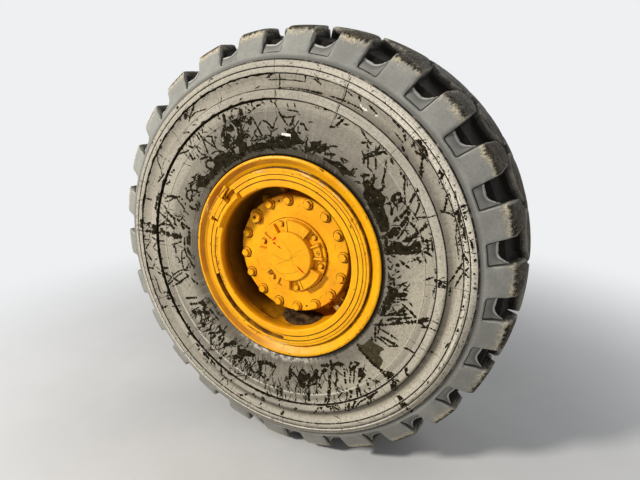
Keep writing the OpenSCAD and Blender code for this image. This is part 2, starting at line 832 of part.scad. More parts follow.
// Arm of the axle casing between the brake and the flange that the axle is bolted to.
module axle_arm() {
    rib_count = 8;
    rib_t = 12;
    rib_len = 70;
    color(axle_paint) difference() {
        union() {
            turned([
                [arm_bore_r, 0],
                [mount_flange_r, 0],
                [mount_flange_r, mount_flange_t],
                [arm_neck_r + 8, mount_flange_t],
                [arm_neck_r, mount_flange_t + 10],
                [arm_r, arm_len - arm_flange_t - 8],
                [arm_r + 8, arm_len - arm_flange_t],
                [arm_flange_r, arm_len - arm_flange_t],
                [arm_flange_r, arm_len],
                [arm_bore_r, arm_len]
            ]);
            for (i = [0 : rib_count - 1])
                on_axle() rotate([0, 0, (i + 0.5) * 360 / rib_count + 11.25])
                    rotate([90, 0, 0]) translate([0, 0, -rib_t / 2])
                        linear_extrude(rib_t) polygon([
                            [arm_neck_r - 10, mount_flange_t - 1],
                            [mount_flange_r - 8, mount_flange_t - 1],
                            [arm_neck_r + 4, mount_flange_t + rib_len],
                            [arm_neck_r - 10, mount_flange_t + rib_len]
                        ]);
        }
        for (i = [0 : mount_count - 1])
            at(mount_circle_r, i * 360 / mount_count, -1) cylinder(r = mount_hole_r, h = mount_flange_t + 2);
    }
}

module arm_bolts() {
    color(axle_paint) for (i = [0 : arm_bolt_count - 1])
        at(arm_bolt_circle_r, (i + 0.5) * 360 / arm_bolt_count, arm_len - arm_flange_t - arm_bolt_h)
            cylinder(r = arm_bolt_r, h = arm_bolt_h, $fn = hex);
}

// Seal in the mount end of the arm and bush in the spindle's end, both on the half shaft.
module shaft_seals() {
    seal_w = 14;
    seal_out = 10;
    bush_w = 20;
    color("dimgray") union() {
        turned([
            [shaft_r + run_gap, seal_out],
            [arm_bore_r, seal_out],
            [arm_bore_r, seal_out + seal_w],
            [shaft_r + run_gap, seal_out + seal_w]
        ]);
        turned([
            [shaft_r + run_gap, spindle_end_out - bush_w],
            [spindle_bore_r, spindle_end_out - bush_w],
            [spindle_bore_r, spindle_end_out],
            [shaft_r + run_gap, spindle_end_out]
        ]);
    }
}

// Shaft that drives the hub's sun gear, with splines on its inboard end.
module half_shaft() {
    shaft_end = 50;
    spline_depth = 3;
    groove_w = PI * shaft_r / spline_count;
    color("silver") difference() {
        turned([
            [0, -spline_len],
            [shaft_r - 3, -spline_len],
            [shaft_r, 3 - spline_len],
            [shaft_r, spindle_end_out + shaft_end],
            [0, spindle_end_out + shaft_end]
        ]);
        for (i = [0 : spline_count - 1])
            at(shaft_r - spline_depth, i * 360 / spline_count, -spline_len - 1)
                translate([0, -groove_w / 2, 0]) cube([spline_depth + 1, groove_w, spline_len - 9]);
    }
}

tyre();
rim_base();
wheel_disc();
inner_flange();
outer_flange();
bead_seat_band();
lock_ring();
driver_key();
valve_stem();
valve_guard();
hub();
wheel_nuts();
planet_housing();
planet_carrier();
carrier_cover();
cover_bolts();
drain_plug();
hub_cap();
cap_bolts();
cap_plug();
spindle();
brake_housing();
brake_bolts();
brake_fittings();
axle_arm();
arm_bolts();
shaft_seals();
half_shaft();
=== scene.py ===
# %% [markdown]
# # A wheel of a heavy articulated hauler
# This lesson dresses the wheel of an articulated dump truck: an earthmover tyre on a multi-piece
# rim, bolted to a planetary hub at the end of the axle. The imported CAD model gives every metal
# piece its shape and place. What is made here is what the CAD leaves plain: the tread, the fine
# relief of the sidewall, marks, mud, and all the finishes.

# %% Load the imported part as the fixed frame
import json
import math
import random

import bmesh
import bpy
import numpy as np
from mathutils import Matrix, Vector, noise
from mathutils.bvhtree import BVHTree
from mathutils.geometry import delaunay_2d_cdt

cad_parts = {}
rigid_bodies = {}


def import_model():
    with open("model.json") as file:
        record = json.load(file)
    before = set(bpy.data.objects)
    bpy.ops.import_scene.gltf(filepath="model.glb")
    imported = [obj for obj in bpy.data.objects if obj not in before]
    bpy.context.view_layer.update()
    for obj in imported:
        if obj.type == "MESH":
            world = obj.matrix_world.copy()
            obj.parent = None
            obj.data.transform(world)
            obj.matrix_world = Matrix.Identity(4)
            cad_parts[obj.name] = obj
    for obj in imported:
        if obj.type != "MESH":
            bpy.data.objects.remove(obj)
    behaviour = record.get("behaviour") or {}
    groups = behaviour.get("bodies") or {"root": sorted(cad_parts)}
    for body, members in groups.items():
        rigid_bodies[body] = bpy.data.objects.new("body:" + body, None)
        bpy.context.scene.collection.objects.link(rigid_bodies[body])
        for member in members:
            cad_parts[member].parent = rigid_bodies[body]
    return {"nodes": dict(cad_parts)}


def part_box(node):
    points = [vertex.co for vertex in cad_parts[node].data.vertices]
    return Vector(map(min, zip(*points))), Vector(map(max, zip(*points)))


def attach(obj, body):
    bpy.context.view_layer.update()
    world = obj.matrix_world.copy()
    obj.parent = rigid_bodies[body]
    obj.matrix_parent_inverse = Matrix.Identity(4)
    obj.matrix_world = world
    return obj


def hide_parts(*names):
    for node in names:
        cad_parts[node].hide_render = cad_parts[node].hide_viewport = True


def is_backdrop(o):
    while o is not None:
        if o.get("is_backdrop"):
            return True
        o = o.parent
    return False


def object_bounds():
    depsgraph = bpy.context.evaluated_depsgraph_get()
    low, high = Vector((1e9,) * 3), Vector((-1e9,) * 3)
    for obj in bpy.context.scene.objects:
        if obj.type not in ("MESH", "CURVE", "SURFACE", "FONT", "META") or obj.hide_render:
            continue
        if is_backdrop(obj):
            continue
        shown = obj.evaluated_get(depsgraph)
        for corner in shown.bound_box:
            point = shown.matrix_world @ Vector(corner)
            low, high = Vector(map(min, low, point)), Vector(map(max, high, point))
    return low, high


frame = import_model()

cad = frame["nodes"]
cad_box = [list(corner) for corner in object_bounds()]
print(len(cad), "CAD nodes, box", [[round(x, 3) for x in corner] for corner in cad_box])

# %% [markdown]
# ## Where things are on the wheel
# Everything on a wheel is easiest to give by its radius, its angle, and how far outboard it is of
# the face that the axle is mounted on. Radius and out are in millimetres here, as in the CAD, and
# angles run anticlockwise from the right as seen from outside.

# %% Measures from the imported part
tyre_low, tyre_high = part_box("tyre")
TYRE_R = round(tyre_high.x * 1000)
BULGE = round(-tyre_low.y * 1000)
MID = round(-(tyre_low.y + tyre_high.y) * 500)
LIP = -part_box("outer_flange")[0].y * 1000
CAMERA_AT = (0.836, -2.0921, 0.546)
print("tyre radius", TYRE_R, "widest", BULGE, "middle", MID, "lip", round(LIP, 1))


# %% Points from radius, angle and out
def place(radius, angle, out):
    """Points in metres, in the row frame. Radius and out are in millimetres, the angle in radians."""
    radius, angle, out = np.broadcast_arrays(radius, angle, out)
    return np.stack([radius * np.cos(angle), -out, radius * np.sin(angle)], -1) / 1000


def mesh_piece(name, points, faces, material, body="wheel", smooth=35):
    """A mesh object that rides on a body, smooth where its faces meet under that many degrees."""
    mesh = bpy.data.meshes.new(name)
    mesh.from_pydata(np.asarray(points).reshape(-1, 3).tolist(), [], faces)
    mesh.shade_smooth()
    if smooth:
        mesh.set_sharp_from_angle(angle=math.radians(smooth))
    made = bpy.data.objects.new(name, mesh)
    bpy.context.scene.collection.objects.link(made)
    made.data.materials.append(material)
    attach(made, body)
    return made


# %% [markdown]
# ## Finishes from nodes
# A finish is a Principled shader fed by noise. Its coordinates are those of the object, so it
# turns with the wheel. Radius and angle are worked out from them too, because dirt, brush marks
# and machining on a wheel run round it or out from its middle.

# %% A short way to build node materials
class Finish:
    """A node material. Each call adds a node and returns the socket that it gives."""

    def __init__(self, name, roughness=0.6, metallic=0.0, shine=0.5):
        self.material = bpy.data.materials.new(name)
        self.material.use_nodes = True
        self.tree = self.material.node_tree
        self.shader = self.tree.nodes["Principled BSDF"]
        self.shader.inputs["Roughness"].default_value = roughness
        self.shader.inputs["Metallic"].default_value = metallic
        self.shader.inputs["Specular IOR Level"].default_value = shine
        self.where = self.node("TexCoord").outputs["Object"]
        axes = self.node("SeparateXYZ", {0: self.where}).outputs
        self.out = self.math("MULTIPLY", axes[1], -1.0)
        self.radius = self.math("SQRT", self.math("ADD", self.math("MULTIPLY", axes[0], axes[0]),
                                                  self.math("MULTIPLY", axes[2], axes[2])))
        self.angle = self.math("ARCTAN2", axes[2], axes[0])
        self.height = None

    def put(self, socket, value):
        if isinstance(value, bpy.types.NodeSocket):
            self.tree.links.new(value, socket)
        elif isinstance(value, tuple) and len(value) == 3 and socket.type == "RGBA":
            socket.default_value = (*value, 1.0)
        else:
            socket.default_value = value

    def node(self, kind, values=(), **settings):
        made = self.tree.nodes.new("ShaderNode" + kind)
        for key, value in settings.items():
            setattr(made, key, value)
        for key, value in dict(values).items():
            self.put(made.inputs[key], value)
        return made

    def math(self, operation, *values):
        return self.node("Math", dict(enumerate(values)), operation=operation).outputs[0]

    def polar(self, along_radius, along_angle, along_out):
        """Coordinates that stretch a texture along the radius, round the wheel, or across it."""
        return self.node("CombineXYZ", {0: self.math("MULTIPLY", self.radius, along_radius),
                                        1: self.math("MULTIPLY", self.angle, along_angle),
                                        2: self.math("MULTIPLY", self.out, along_out)}).outputs[0]

    def noise(self, scale, detail=4.0, rough=0.55, where=None):
        return self.node("TexNoise", {"Vector": where or self.where, "Scale": scale, "Detail": detail,
                                      "Roughness": rough}).outputs["Fac"]

    def towards(self, degrees):
        """1 in that direction from the axle, 0 at right angles to it, and -1 on the far side."""
        return self.math("COSINE", self.math("SUBTRACT", self.angle, math.radians(degrees)))

    def ramp(self, value, low, high, to_low=0.0, to_high=1.0):
        """Follows value smoothly from to_low at low to to_high at high."""
        return self.node("MapRange", {0: value, 1: low, 2: high, 3: to_low, 4: to_high},
                         interpolation_type="SMOOTHSTEP").outputs[0]

    def ring(self, radius, half_width, soft):
        """1 within half_width of that radius in metres, and 0 beyond its soft edge."""
        off = self.math("ABSOLUTE", self.math("SUBTRACT", self.radius, radius))
        return self.ramp(off, half_width, half_width + soft, 1.0, 0.0)

    def both(self, *shares):
        made = shares[0]
        for share in shares[1:]:
            made = self.math("MULTIPLY", made, share)
        return made

    def mix(self, share, a, b):
        made = self.node("Mix", data_type="RGBA")
        for place_in, value in ((0, share), (6, a), (7, b)):
            self.put(made.inputs[place_in], value)
        return made.outputs[2]

    def bump(self, height, distance, strength=1.0):
        """Adds relief. Each call stands on the one before."""
        values = {"Height": height, "Distance": distance, "Strength": strength}
        if self.height is not None:
            values["Normal"] = self.height
        self.height = self.node("Bump", values).outputs["Normal"]

    def done(self, colour, roughness=None):
        self.put(self.shader.inputs["Base Color"], colour)
        if roughness is not None:
            self.put(self.shader.inputs["Roughness"], roughness)
        if self.height is not None:
            self.put(self.shader.inputs["Normal"], self.height)
        return self.material


# %% [markdown]
# ## Rubber
# Tyre rubber is black when it is new. On a hauler it is grey: fine dust sticks to the sidewall, and
# mud dries on the tread. The finish is chosen by radius, because each ring of a sidewall collects
# dust in its own way: raised rings are pale, and the creases beside them are black, with dirt and
# with painted shade. The tread's mesh carries three values for its finish: how deep a point is in a
# groove, how far it is inside the groove's edge, and how far past the lip of a pocket. Deep in the
# grooves, at the lugs' feet and just inside the grooves' edges the rubber is painted darker as
# shade, and along the pockets' lips it is painted paler as a highlight. Some rings also change with
# the direction from the axle: partly dust that lies darker or paler on one side, and partly painted
# shade and painted highlights on the edges of rings that face away from or towards the light.

# %% Where the sidewall's dust and painted shade differ
# On one side of the wheel the sidewall is painted darker or paler: partly dust, and partly painted
# shade (among it the flange's shadow on the right, near the rim) and painted highlights (LIT_EDGE) on
# ring edges that face away from or towards the light. Each row gives a direction in degrees, the
# cosines between which it comes in, then in metres either a ring (radius, half width, soft edge) or
# the two radii between which it comes in, then its share, and its colour.
LIT_EDGE = (0.85, 0.8, 0.68)
SECTORS = (
    (90, 0.6, 0.95, (0.548, 0.535), 0.55, (0.15, 0.138, 0.115)),
    (255, 0.5, 0.95, (0.56, 0.54), 0.25, (0.15, 0.133, 0.1)),
    (330, 0.5, 0.95, (0.42, 0.5), 0.55, (0.5, 0.45, 0.34)),
    (160, 0.7, 0.97, (0.54, 0.03, 0.02), 0.5, (0.48, 0.44, 0.35)),
    (20, 0.3, 0.9, (0.676, 0.019, 0.004), 0.7, (0.75, 0.69, 0.57)),
    (20, 0.4, 0.85, (0.5845, 0.013, 0.0015), 0.12, (0.66, 0.61, 0.52)),
    (80, 0.3, 0.8, (0.43, 0.408), 0.8, (0.035, 0.03, 0.018)),
    (0, 0.1, 0.55, (0.4, 0.393), 0.95, (0.008, 0.006, 0.004)),
    (210, 0.6, 0.95, (0.552, 0.012, 0.006), 0.5, (0.14, 0.125, 0.1)),
    (300, 0.3, 0.75, (0.545, 0.006, 0.004), 0.35, (0.12, 0.105, 0.08)),
    (300, 0.3, 0.75, (0.56, 0.004, 0.004), 0.6, (0.52, 0.47, 0.38)),
    (300, 0.3, 0.75, (0.606, 0.008, 0.01), 0.75, (0.075, 0.066, 0.048)),
    (300, 0.3, 0.75, (0.642, 0.006, 0.012), 0.5, (0.58, 0.53, 0.43)),
    (300, 0.3, 0.75, (0.677, 0.012, 0.005), 0.65, (0.11, 0.096, 0.072)),
    (210, 0.6, 0.95, (0.475, 0.025, 0.02), 0.45, (0.42, 0.38, 0.3)),
    (240, 0.3, 0.8, (0.43, 0.41), 0.5, (0.08, 0.07, 0.05)),
    (255, 0.0, 0.6, (0.6955, 0.7), 0.75, (0.07, 0.06, 0.045)),
    (255, 0.25, 0.7, (0.5302, 0.0016, 0.0014), 0.5, LIT_EDGE),
    (255, 0.25, 0.7, (0.5655, 0.0016, 0.0014), 0.55, LIT_EDGE),
    (255, 0.25, 0.7, (0.6732, 0.0016, 0.0014), 0.75, LIT_EDGE),
    (255, 0.25, 0.7, (0.689, 0.0016, 0.0014), 0.35, LIT_EDGE),
)
print("the dust differs in", len(SECTORS), "places")


# %% Dust, painted shade and painted highlights on the sidewall
def sidewall_colour(f):
    clouds = f.noise(4.0, 6.0, 0.62)
    fine = f.noise(150.0, 5.0, 0.7)
    round_it = f.noise(1.0, 5.0, 0.6, f.polar(230.0, 1.5, 30.0))
    outwards = f.noise(1.0, 5.0, 0.65, f.polar(8.0, 34.0, 4.0))
    dust_and_shade = f.mix(f.ramp(clouds, 0.35, 0.65), (0.22, 0.198, 0.155), (0.31, 0.28, 0.222))
    dust_and_shade = f.mix(f.ramp(f.radius, 0.5, 0.41, 0.0, 0.55), dust_and_shade, (0.12, 0.107, 0.082))
    dust_and_shade = f.mix(f.ramp(f.radius, 0.528, 0.534, 0.0, 0.5), dust_and_shade, (0.37, 0.335, 0.265))
    dust_and_shade = f.mix(f.both(f.ring(0.53, 0.003, 0.002), 0.6), dust_and_shade, (0.48, 0.44, 0.36))
    band = f.both(f.ring(0.5845, 0.013, 0.0015), f.ramp(clouds, 0.4, 0.56, 0.3, 0.85))
    dust_and_shade = f.mix(band, dust_and_shade, (0.42, 0.385, 0.315))
    dust_and_shade = f.mix(f.both(f.ring(0.668, 0.02, 0.004), 0.7), dust_and_shade, (0.44, 0.405, 0.33))
    # By sectors: dust, and painted shade and painted highlights on the ring edges
    for at, low, high, span, share, tint in SECTORS:
        ring = f.ring(*span) if len(span) == 3 else f.ramp(f.radius, *span)
        dust_and_shade = f.mix(f.both(f.ramp(f.towards(at), low, high), ring, share), dust_and_shade, tint)
    # Darker on the channel's inner slope towards the right: painted shade
    channel = f.both(f.ramp(f.radius, 0.598, 0.6), f.ramp(f.radius, 0.632, 0.606))
    dust_and_shade = f.mix(f.both(f.ramp(f.towards(20), 0.0, 0.8), channel, 0.5), dust_and_shade, (0.12, 0.1, 0.075))
    dust_and_shade = f.mix(f.ramp(round_it, 0.5, 0.8, 0.0, 0.5), dust_and_shade, (0.13, 0.116, 0.09))
    dust_and_shade = f.mix(f.ramp(outwards, 0.5, 0.78, 0.0, 0.4), dust_and_shade, (0.42, 0.38, 0.31))
    dust_and_shade = f.mix(f.ramp(fine, 0.42, 0.72, 0.0, 0.5), dust_and_shade, (0.1, 0.088, 0.066))
    specks = f.ramp(f.noise(95.0, 4.0, 0.75), 0.59, 0.63)
    ridges = f.ring(0.668, 0.022, 0.004)
    return f.mix(f.both(specks, f.math("ADD", 0.35, f.both(ridges, 0.6))), dust_and_shade, (0.03, 0.024, 0.014))


# %% Creases, mould lines and powder
def creases(f):
    """Where the creases beside the raised rings are, broken up here and there."""
    found = f.ring(0.5688, 0.0016, 0.0014)
    for radius, half_width in ((0.6004, 0.0012), (0.6498, 0.0016), (0.6703, 0.0012), (0.6936, 0.0022)):
        found = f.math("MAXIMUM", found, f.ring(radius, half_width, 0.0012))
    broken = f.ramp(f.noise(1.0, 4.0, 0.7, f.polar(30.0, 26.0, 1.0)), 0.3, 0.52, 0.3, 0.97)
    return f.both(found, broken)


def mould_lines(f):
    """Thin lines out from the rim, where the parts of the mould met: 16 round the tyre."""
    turn = f.math("FRACT", f.math("ADD", f.math("MULTIPLY", f.angle, 8 / math.pi), 0.5))
    off = f.math("MULTIPLY", f.math("ABSOLUTE", f.math("SUBTRACT", turn, 0.5)),
                 f.math("MULTIPLY", f.radius, math.pi / 8))
    line = f.both(f.ramp(off, 0.0008, 0.002, 1.0, 0.0),
                  f.ramp(f.radius, 0.48, 0.535), f.ramp(f.radius, 0.7, 0.69))
    return f.both(line, f.ramp(f.noise(1.0, 3.0, 0.6, f.polar(60.0, 4.0, 1.0)), 0.35, 0.6, 0.25, 1.0))


def powder(f):
    """Pale powder in the corner between the flange and the tyre, mostly below the hub."""
    below = f.ramp(f.math("ABSOLUTE", f.math("ADD", f.angle, 1.62)), 0.2, 0.6, 1.0, 0.0)
    return f.both(f.ramp(f.radius, 0.412, 0.39), below, f.ramp(f.noise(60.0, 5.0, 0.7), 0.44, 0.6, 0.0, 0.85))


# %% Mud on the tread
def tread_colour(f, deep, edge, lip):
    clouds = f.noise(9.0, 6.0, 0.6)
    broad = f.noise(3.2, 4.0, 0.55)
    streaks = f.noise(1.0, 5.0, 0.7, f.polar(26.0, 90.0, 20.0))
    grit = f.noise(190.0, 4.0, 0.75)
    side = f.mix(f.ramp(clouds, 0.35, 0.65), (0.23, 0.226, 0.2), (0.3, 0.295, 0.262))
    side = f.mix(f.ramp(f.noise(140.0, 5.0, 0.7), 0.45, 0.72, 0.0, 0.3), side, (0.1, 0.097, 0.082))
    # Darker towards the lugs' foot: painted shade where the surface falls away
    side = f.mix(f.ramp(f.radius, 0.713, 0.698, 0.0, 0.75), side, (0.09, 0.088, 0.075))
    mud = f.mix(f.ramp(f.noise(34.0, 6.0, 0.75), 0.38, 0.6), (0.012, 0.01, 0.007), (0.07, 0.056, 0.036))
    speck = f.mix(f.ramp(broad, 0.42, 0.58), (0.34, 0.25, 0.13), (0.46, 0.4, 0.29))
    gritty = f.both(f.ramp(grit, 0.55, 0.6), f.ramp(f.noise(26.0, 5.0, 0.7), 0.42, 0.58, 0.1, 1.0))
    mud = f.mix(gritty, mud, speck)
    tan = f.mix(f.ramp(grit, 0.42, 0.62), (0.62, 0.55, 0.4), (0.24, 0.2, 0.13))
    reach = f.math("ADD", f.radius, f.math("MULTIPLY", f.math("SUBTRACT", streaks, 0.5), 0.05))
    dried = f.both(f.ramp(reach, 0.766, 0.788), f.ramp(f.noise(17.0, 6.0, 0.7), 0.4, 0.56, 0.1, 1.0))
    dusty = f.mix(dried, side, tan)
    colour = f.mix(f.ramp(reach, 0.788, 0.794), dusty, mud)
    # A dark line just inside the edge of each groove and pocket: painted shade under the step
    colour = f.mix(f.both(f.ramp(edge, 1.0, 3.0), f.ramp(edge, 9.0, 6.0), 0.9), colour, (0.012, 0.01, 0.008))
    # Pale along the edges of lugs and blocks: rubbed rubber, and partly a painted highlight where the edges
    # catch the light
    worn = f.both(f.ramp(edge, -4.0, -1.5), f.ramp(edge, 1.5, 0.0),
                  f.ramp(f.noise(30.0, 4.0, 0.6), 0.4, 0.6, 0.1, 0.7))
    colour = f.mix(worn, colour, (0.46, 0.445, 0.39))
    crest = f.both(f.ramp(f.radius, 0.79, 0.797), f.ramp(edge, -8.0, -2.5), f.ramp(edge, 2.0, 0.0))
    colour = f.mix(f.both(crest, f.ramp(f.noise(13.0, 5.0, 0.6), 0.4, 0.6, 0.1, 0.9)), colour, (0.4, 0.37, 0.3))
    colour = f.mix(f.both(f.ramp(lip, -34.0, -8.0), f.ramp(lip, -3.0, -7.0), 0.6), colour, (0.1, 0.098, 0.088))
    # Near black deep in the grooves: wet rubber and mud, and painted shade
    black = f.mix(f.ramp(clouds, 0.35, 0.65), (0.006, 0.005, 0.004), (0.022, 0.018, 0.013))
    colour = f.mix(f.ramp(deep, 0.4, 0.66), colour, black)
    # A pale line along the lip of each pocket: a painted highlight
    rim = f.both(f.ramp(lip, -7.0, -4.0), f.ramp(lip, 4.5, 1.5), f.ramp(edge, 5.0, 9.0))
    return f.mix(f.both(rim, f.ramp(clouds, 0.3, 0.6, 0.4, 0.95)), colour, (0.52, 0.51, 0.46))


# %% The tyre's whole finish
def tyre_rubber():
    f = Finish("tyre_rubber", roughness=0.8, shine=0.12)
    deep = f.node("Attribute", attribute_name="deep").outputs["Fac"]
    edge = f.node("Attribute", attribute_name="edge").outputs["Fac"]
    lip = f.node("Attribute", attribute_name="lip").outputs["Fac"]
    wall = f.mix(powder(f), sidewall_colour(f), (0.62, 0.58, 0.5))
    wall = f.mix(f.both(mould_lines(f), 0.8), wall, (0.06, 0.052, 0.04))
    # Near black in the creases beside the raised rings: dirt, and painted shade
    wall = f.mix(creases(f), wall, (0.012, 0.01, 0.007))
    shadow_reach = f.math("ADD", f.radius, f.math("MULTIPLY", f.towards(11.46), -0.0045))
    wall = f.mix(f.ramp(shadow_reach, 0.3895, 0.3855), wall, (0.008, 0.006, 0.004))
    tread = f.ramp(f.radius, 0.6945, 0.6975)
    colour = f.mix(tread, wall, tread_colour(f, deep, edge, lip))
    muddy = f.math("MAXIMUM", f.ramp(f.radius, 0.78, 0.8), f.ramp(deep, 0.45, 0.8))
    f.bump(f.noise(800.0, 3.0, 0.6), 0.0004, 0.5)
    f.bump(f.noise(120.0, 5.0, 0.7), 0.0012, 0.5)
    f.bump(f.noise(4.0, 6.0, 0.62), 0.006, 0.25)
    f.bump(f.both(f.noise(65.0, 6.0, 0.75), muddy), 0.012, 1.0)
    return f.done(colour, f.ramp(f.noise(9.0, 5.0, 0.6), 0.3, 0.7, 0.62, 0.85))


rubber = tyre_rubber()
print("finish:", rubber.name, "with", len(rubber.node_tree.nodes), "nodes")

# %% [markdown]
# ## The sidewalls
# The mould gives the sidewall its rings: thin ribs that guard the rim, a smooth flank, a raised
# band, a channel and two ridges below the lugs. A profile of radius and depth is turned round the
# axle. It has as many steps as the tread below has points along its foot, so the two meet exactly.

# %% The profile of the outer sidewall
LUGS = 26            # on each side of the tyre
STEPS_A_LUG = 14     # points along a lug's foot, and so round the sidewall
HALF_PITCH = math.pi * TYRE_R / LUGS
GROOVE_ANGLE = math.radians(9.0)
# Radius, and depth below the widest part, in millimetres
wall_profile = [
    (357, 59.6), (381, 34.8), (386, 26.5), (390.4, 24.8), (391.2, 23.3), (392.8, 22.7), (393.6, 23.5),
    (396.6, 22.5), (397.4, 21.1), (399, 20.5), (399.8, 21.2), (402.8, 20.1), (403.6, 18.7), (405.2, 18.1),
    (406, 18.9), (411, 17), (425, 15.8), (448, 14.2), (474, 12.6), (500, 11), (520, 9.8), (526, 9.4),
    (527.5, 9.2), (528.7, 7.1), (531.5, 6.9), (532.7, 8.7), (548, 8.2), (562, 7.4), (566, 8.0),
    (568.2, 12), (569.4, 11), (570.6, 1.4), (572, 0.8), (585, 0.8), (597.5, 0.8), (599, 1.2), (599.8, 5.5),
    (601.2, 6.4), (603, 6), (608, 9.6), (616, 13), (624, 14), (632, 13.2), (640, 10.4), (646, 7.4),
    (648.6, 6.4), (649.8, 10), (651.2, 4.4), (652.6, 3.4), (660, 3.2), (667.5, 3.6), (669.2, 4.6),
    (670.3, 8.6), (671.4, 7.6), (672.4, 3.4), (674, 2.6), (679, 3.4), (685, 5.8), (690, 8), (691.8, 10),
    (693.2, 16), (695, 17.6), (698, 18), (704, 19.8),
]
wall_radius = np.array([r for r, depth in wall_profile], float)
wall_out = np.array([BULGE - depth for r, depth in wall_profile], float)


def wall_at(radius):
    """How far out the outer sidewall is at a radius."""
    return np.interp(radius, wall_radius, wall_out)


def ring_faces(first, second, steps):
    """Quads between two rings of a turned shape, given by the indexes of their first points."""
    return [(first + j, second + j, second + (j + 1) % steps, first + (j + 1) % steps) for j in range(steps)]


def turned(radius, out, steps, start=0.0):
    """Points and faces of a profile turned round the axle, whose outside is to its left."""
    angles = start + np.arange(steps) * 2 * math.pi / steps
    points = place(np.asarray(radius)[:, None], angles[None, :], np.asarray(out)[:, None]).reshape(-1, 3)
    faces = [f for i in range(len(radius) - 1) for f in ring_faces(i * steps, (i + 1) * steps, steps)]
    return points, faces


WALL_STEPS = LUGS * STEPS_A_LUG
outer_wall = turned(wall_radius, wall_out, WALL_STEPS, GROOVE_ANGLE)
FEWER = (411, 474, 526, 566, 570.6, 572, 597.5, 601.2, 608, 624, 640, 648.6, 652.6, 667.5, 670.3, 674, 690,
         693.2, 704)
plain = [i for i, r in enumerate(wall_radius) if r < 390 or r in FEWER]
inner_wall = turned(wall_radius[plain][::-1], 2 * MID - wall_out[plain][::-1], WALL_STEPS, GROOVE_ANGLE)
print("outer wall", len(outer_wall[1]), "faces; inner wall", len(inner_wall[1]))

# %% [markdown]
# ## The tread
# One pitch of the tread is drawn flat: u runs round the tyre and v from the foot of the lug over
# the crown to the foot on the other side. A lug on each edge and a block in the middle stand up,
# with grooves between them. Each point of this plan is bent over the tyre's curve and sunk by how
# far it is inside a groove, and the pitch is repeated round the tyre.

# %% The tyre's curve across the tread
CROWN_CURVE = 1200.0
TREAD_HALF = 224.0
edge_r = TYRE_R - CROWN_CURVE + math.sqrt(CROWN_CURVE ** 2 - TREAD_HALF ** 2)
foot = [(704.0, BULGE - 19.8)]
side = [(714.0, BULGE - 22.0), (775.0, BULGE - 56.0)]
bend = [((1 - t) ** 2 * 775 + 2 * t * (1 - t) * 796 + t * t * edge_r,
         (1 - t) ** 2 * (BULGE - 56) + 2 * t * (1 - t) * (BULGE - 70) + t * t * (MID + TREAD_HALF))
        for t in np.linspace(0, 1, 7)[1:]]
crown = [(TYRE_R - CROWN_CURVE + math.sqrt(CROWN_CURVE ** 2 - x * x), MID + x)
         for x in np.linspace(TREAD_HALF, 0, 14)[1:]]
half_curve = foot + side + bend + crown
curve = np.array(half_curve + [(r, 2 * MID - out) for r, out in half_curve[-2::-1]])
lengths = np.concatenate([[0], np.cumsum(np.hypot(*np.diff(curve, axis=0).T))])
curve_v = lengths - lengths[len(foot)]
V_SEAM = curve_v[0]
V_MID = curve_v[len(half_curve) - 1]
print("v from", round(V_SEAM, 1), "to the middle at", round(V_MID, 1))


def on_curve(v):
    """Radius, out, and the outward normal's two parts, at distances v along the tyre's curve."""
    r, out = (np.interp(v, curve_v, curve[:, i]) for i in (0, 1))
    ahead = np.array([np.interp(v + 4, curve_v, curve[:, i]) - np.interp(v - 4, curve_v, curve[:, i])
                      for i in (0, 1)])
    ahead /= np.hypot(*ahead)
    return r, out, -ahead[1], ahead[0]


# %% Ways to draw the plan
def rounded(corners, radii, closed=False):
    """A polyline through the corners with each one rounded, in short steps."""
    corners = [np.array(c, float) for c in corners]
    count, points = len(corners), []
    for i, c in enumerate(corners):
        if not closed and i in (0, count - 1) or radii[i] == 0:
            points.append(c)
            continue
        back, ahead = corners[i - 1] - c, corners[(i + 1) % count] - c
        back, ahead = back / np.hypot(*back), ahead / np.hypot(*ahead)
        half_turn = (math.pi - math.acos(float(np.clip(back @ ahead, -1, 1)))) / 2
        reach = radii[i] * math.tan(half_turn)
        for t in np.linspace(0, 1, 5 if half_turn > 0.3 else 3):
            points.append((1 - t) ** 2 * (c + back * reach) + 2 * t * (1 - t) * c + t * t * (c + ahead * reach))
    return np.array(points)


def shifted(path, by, closed=False):
    """The path moved sideways, to the left of its direction."""
    back = np.roll(path, 1, 0) if closed else np.vstack([path[:1], path[:-1]])
    ahead = np.roll(path, -1, 0) if closed else np.vstack([path[1:], path[-1:]])
    a, b = path - back, ahead - path
    a = np.where(np.hypot(*a.T)[:, None] < 1e-9, b, a)
    b = np.where(np.hypot(*b.T)[:, None] < 1e-9, a, b)
    a, b = a / np.hypot(*a.T)[:, None], b / np.hypot(*b.T)[:, None]
    n = np.stack([-(a + b)[:, 1], (a + b)[:, 0]], 1)
    n /= np.hypot(*n.T)[:, None]
    fit = (n * np.stack([-a[:, 1], a[:, 0]], 1)).sum(1)
    return path + n * (by / np.maximum(fit, 0.5))[:, None]


def divided(path, step, closed=False):
    """The path with points added so that none are further apart than step."""
    ends = np.vstack([path, path[:1]]) if closed else path
    made = []
    for p, q in zip(ends[:-1], ends[1:]):
        parts = max(1, math.ceil(np.hypot(*(q - p)) / step - 0.01))
        made += [p + (q - p) * k / parts for k in range(parts)]
    return np.array(made if closed else made + [ends[-1]])


# %% Ways to measure against an outline
def inside(points, corners):
    """Which points are in the polygon."""
    x, y = points[:, 0], points[:, 1]
    found = np.zeros(len(points), bool)
    for (x1, y1), (x2, y2) in zip(corners, np.roll(corners, -1, 0)):
        if y1 != y2:
            found ^= ((y1 > y) != (y2 > y)) & (x < (x2 - x1) * (y - y1) / (y2 - y1) + x1)
    return found


def away(points, path, closed=False):
    """Distance from each point to the path."""
    ends = np.vstack([path, path[:1]]) if closed else path
    best = np.full(len(points), 1e9)
    for p, q in zip(ends[:-1], ends[1:]):
        d = q - p
        if d @ d < 1e-12:
            continue
        t = np.clip(((points - p) @ d) / (d @ d), 0, 1)
        best = np.minimum(best, np.hypot(*(points - p - t[:, None] * d).T))
    return best


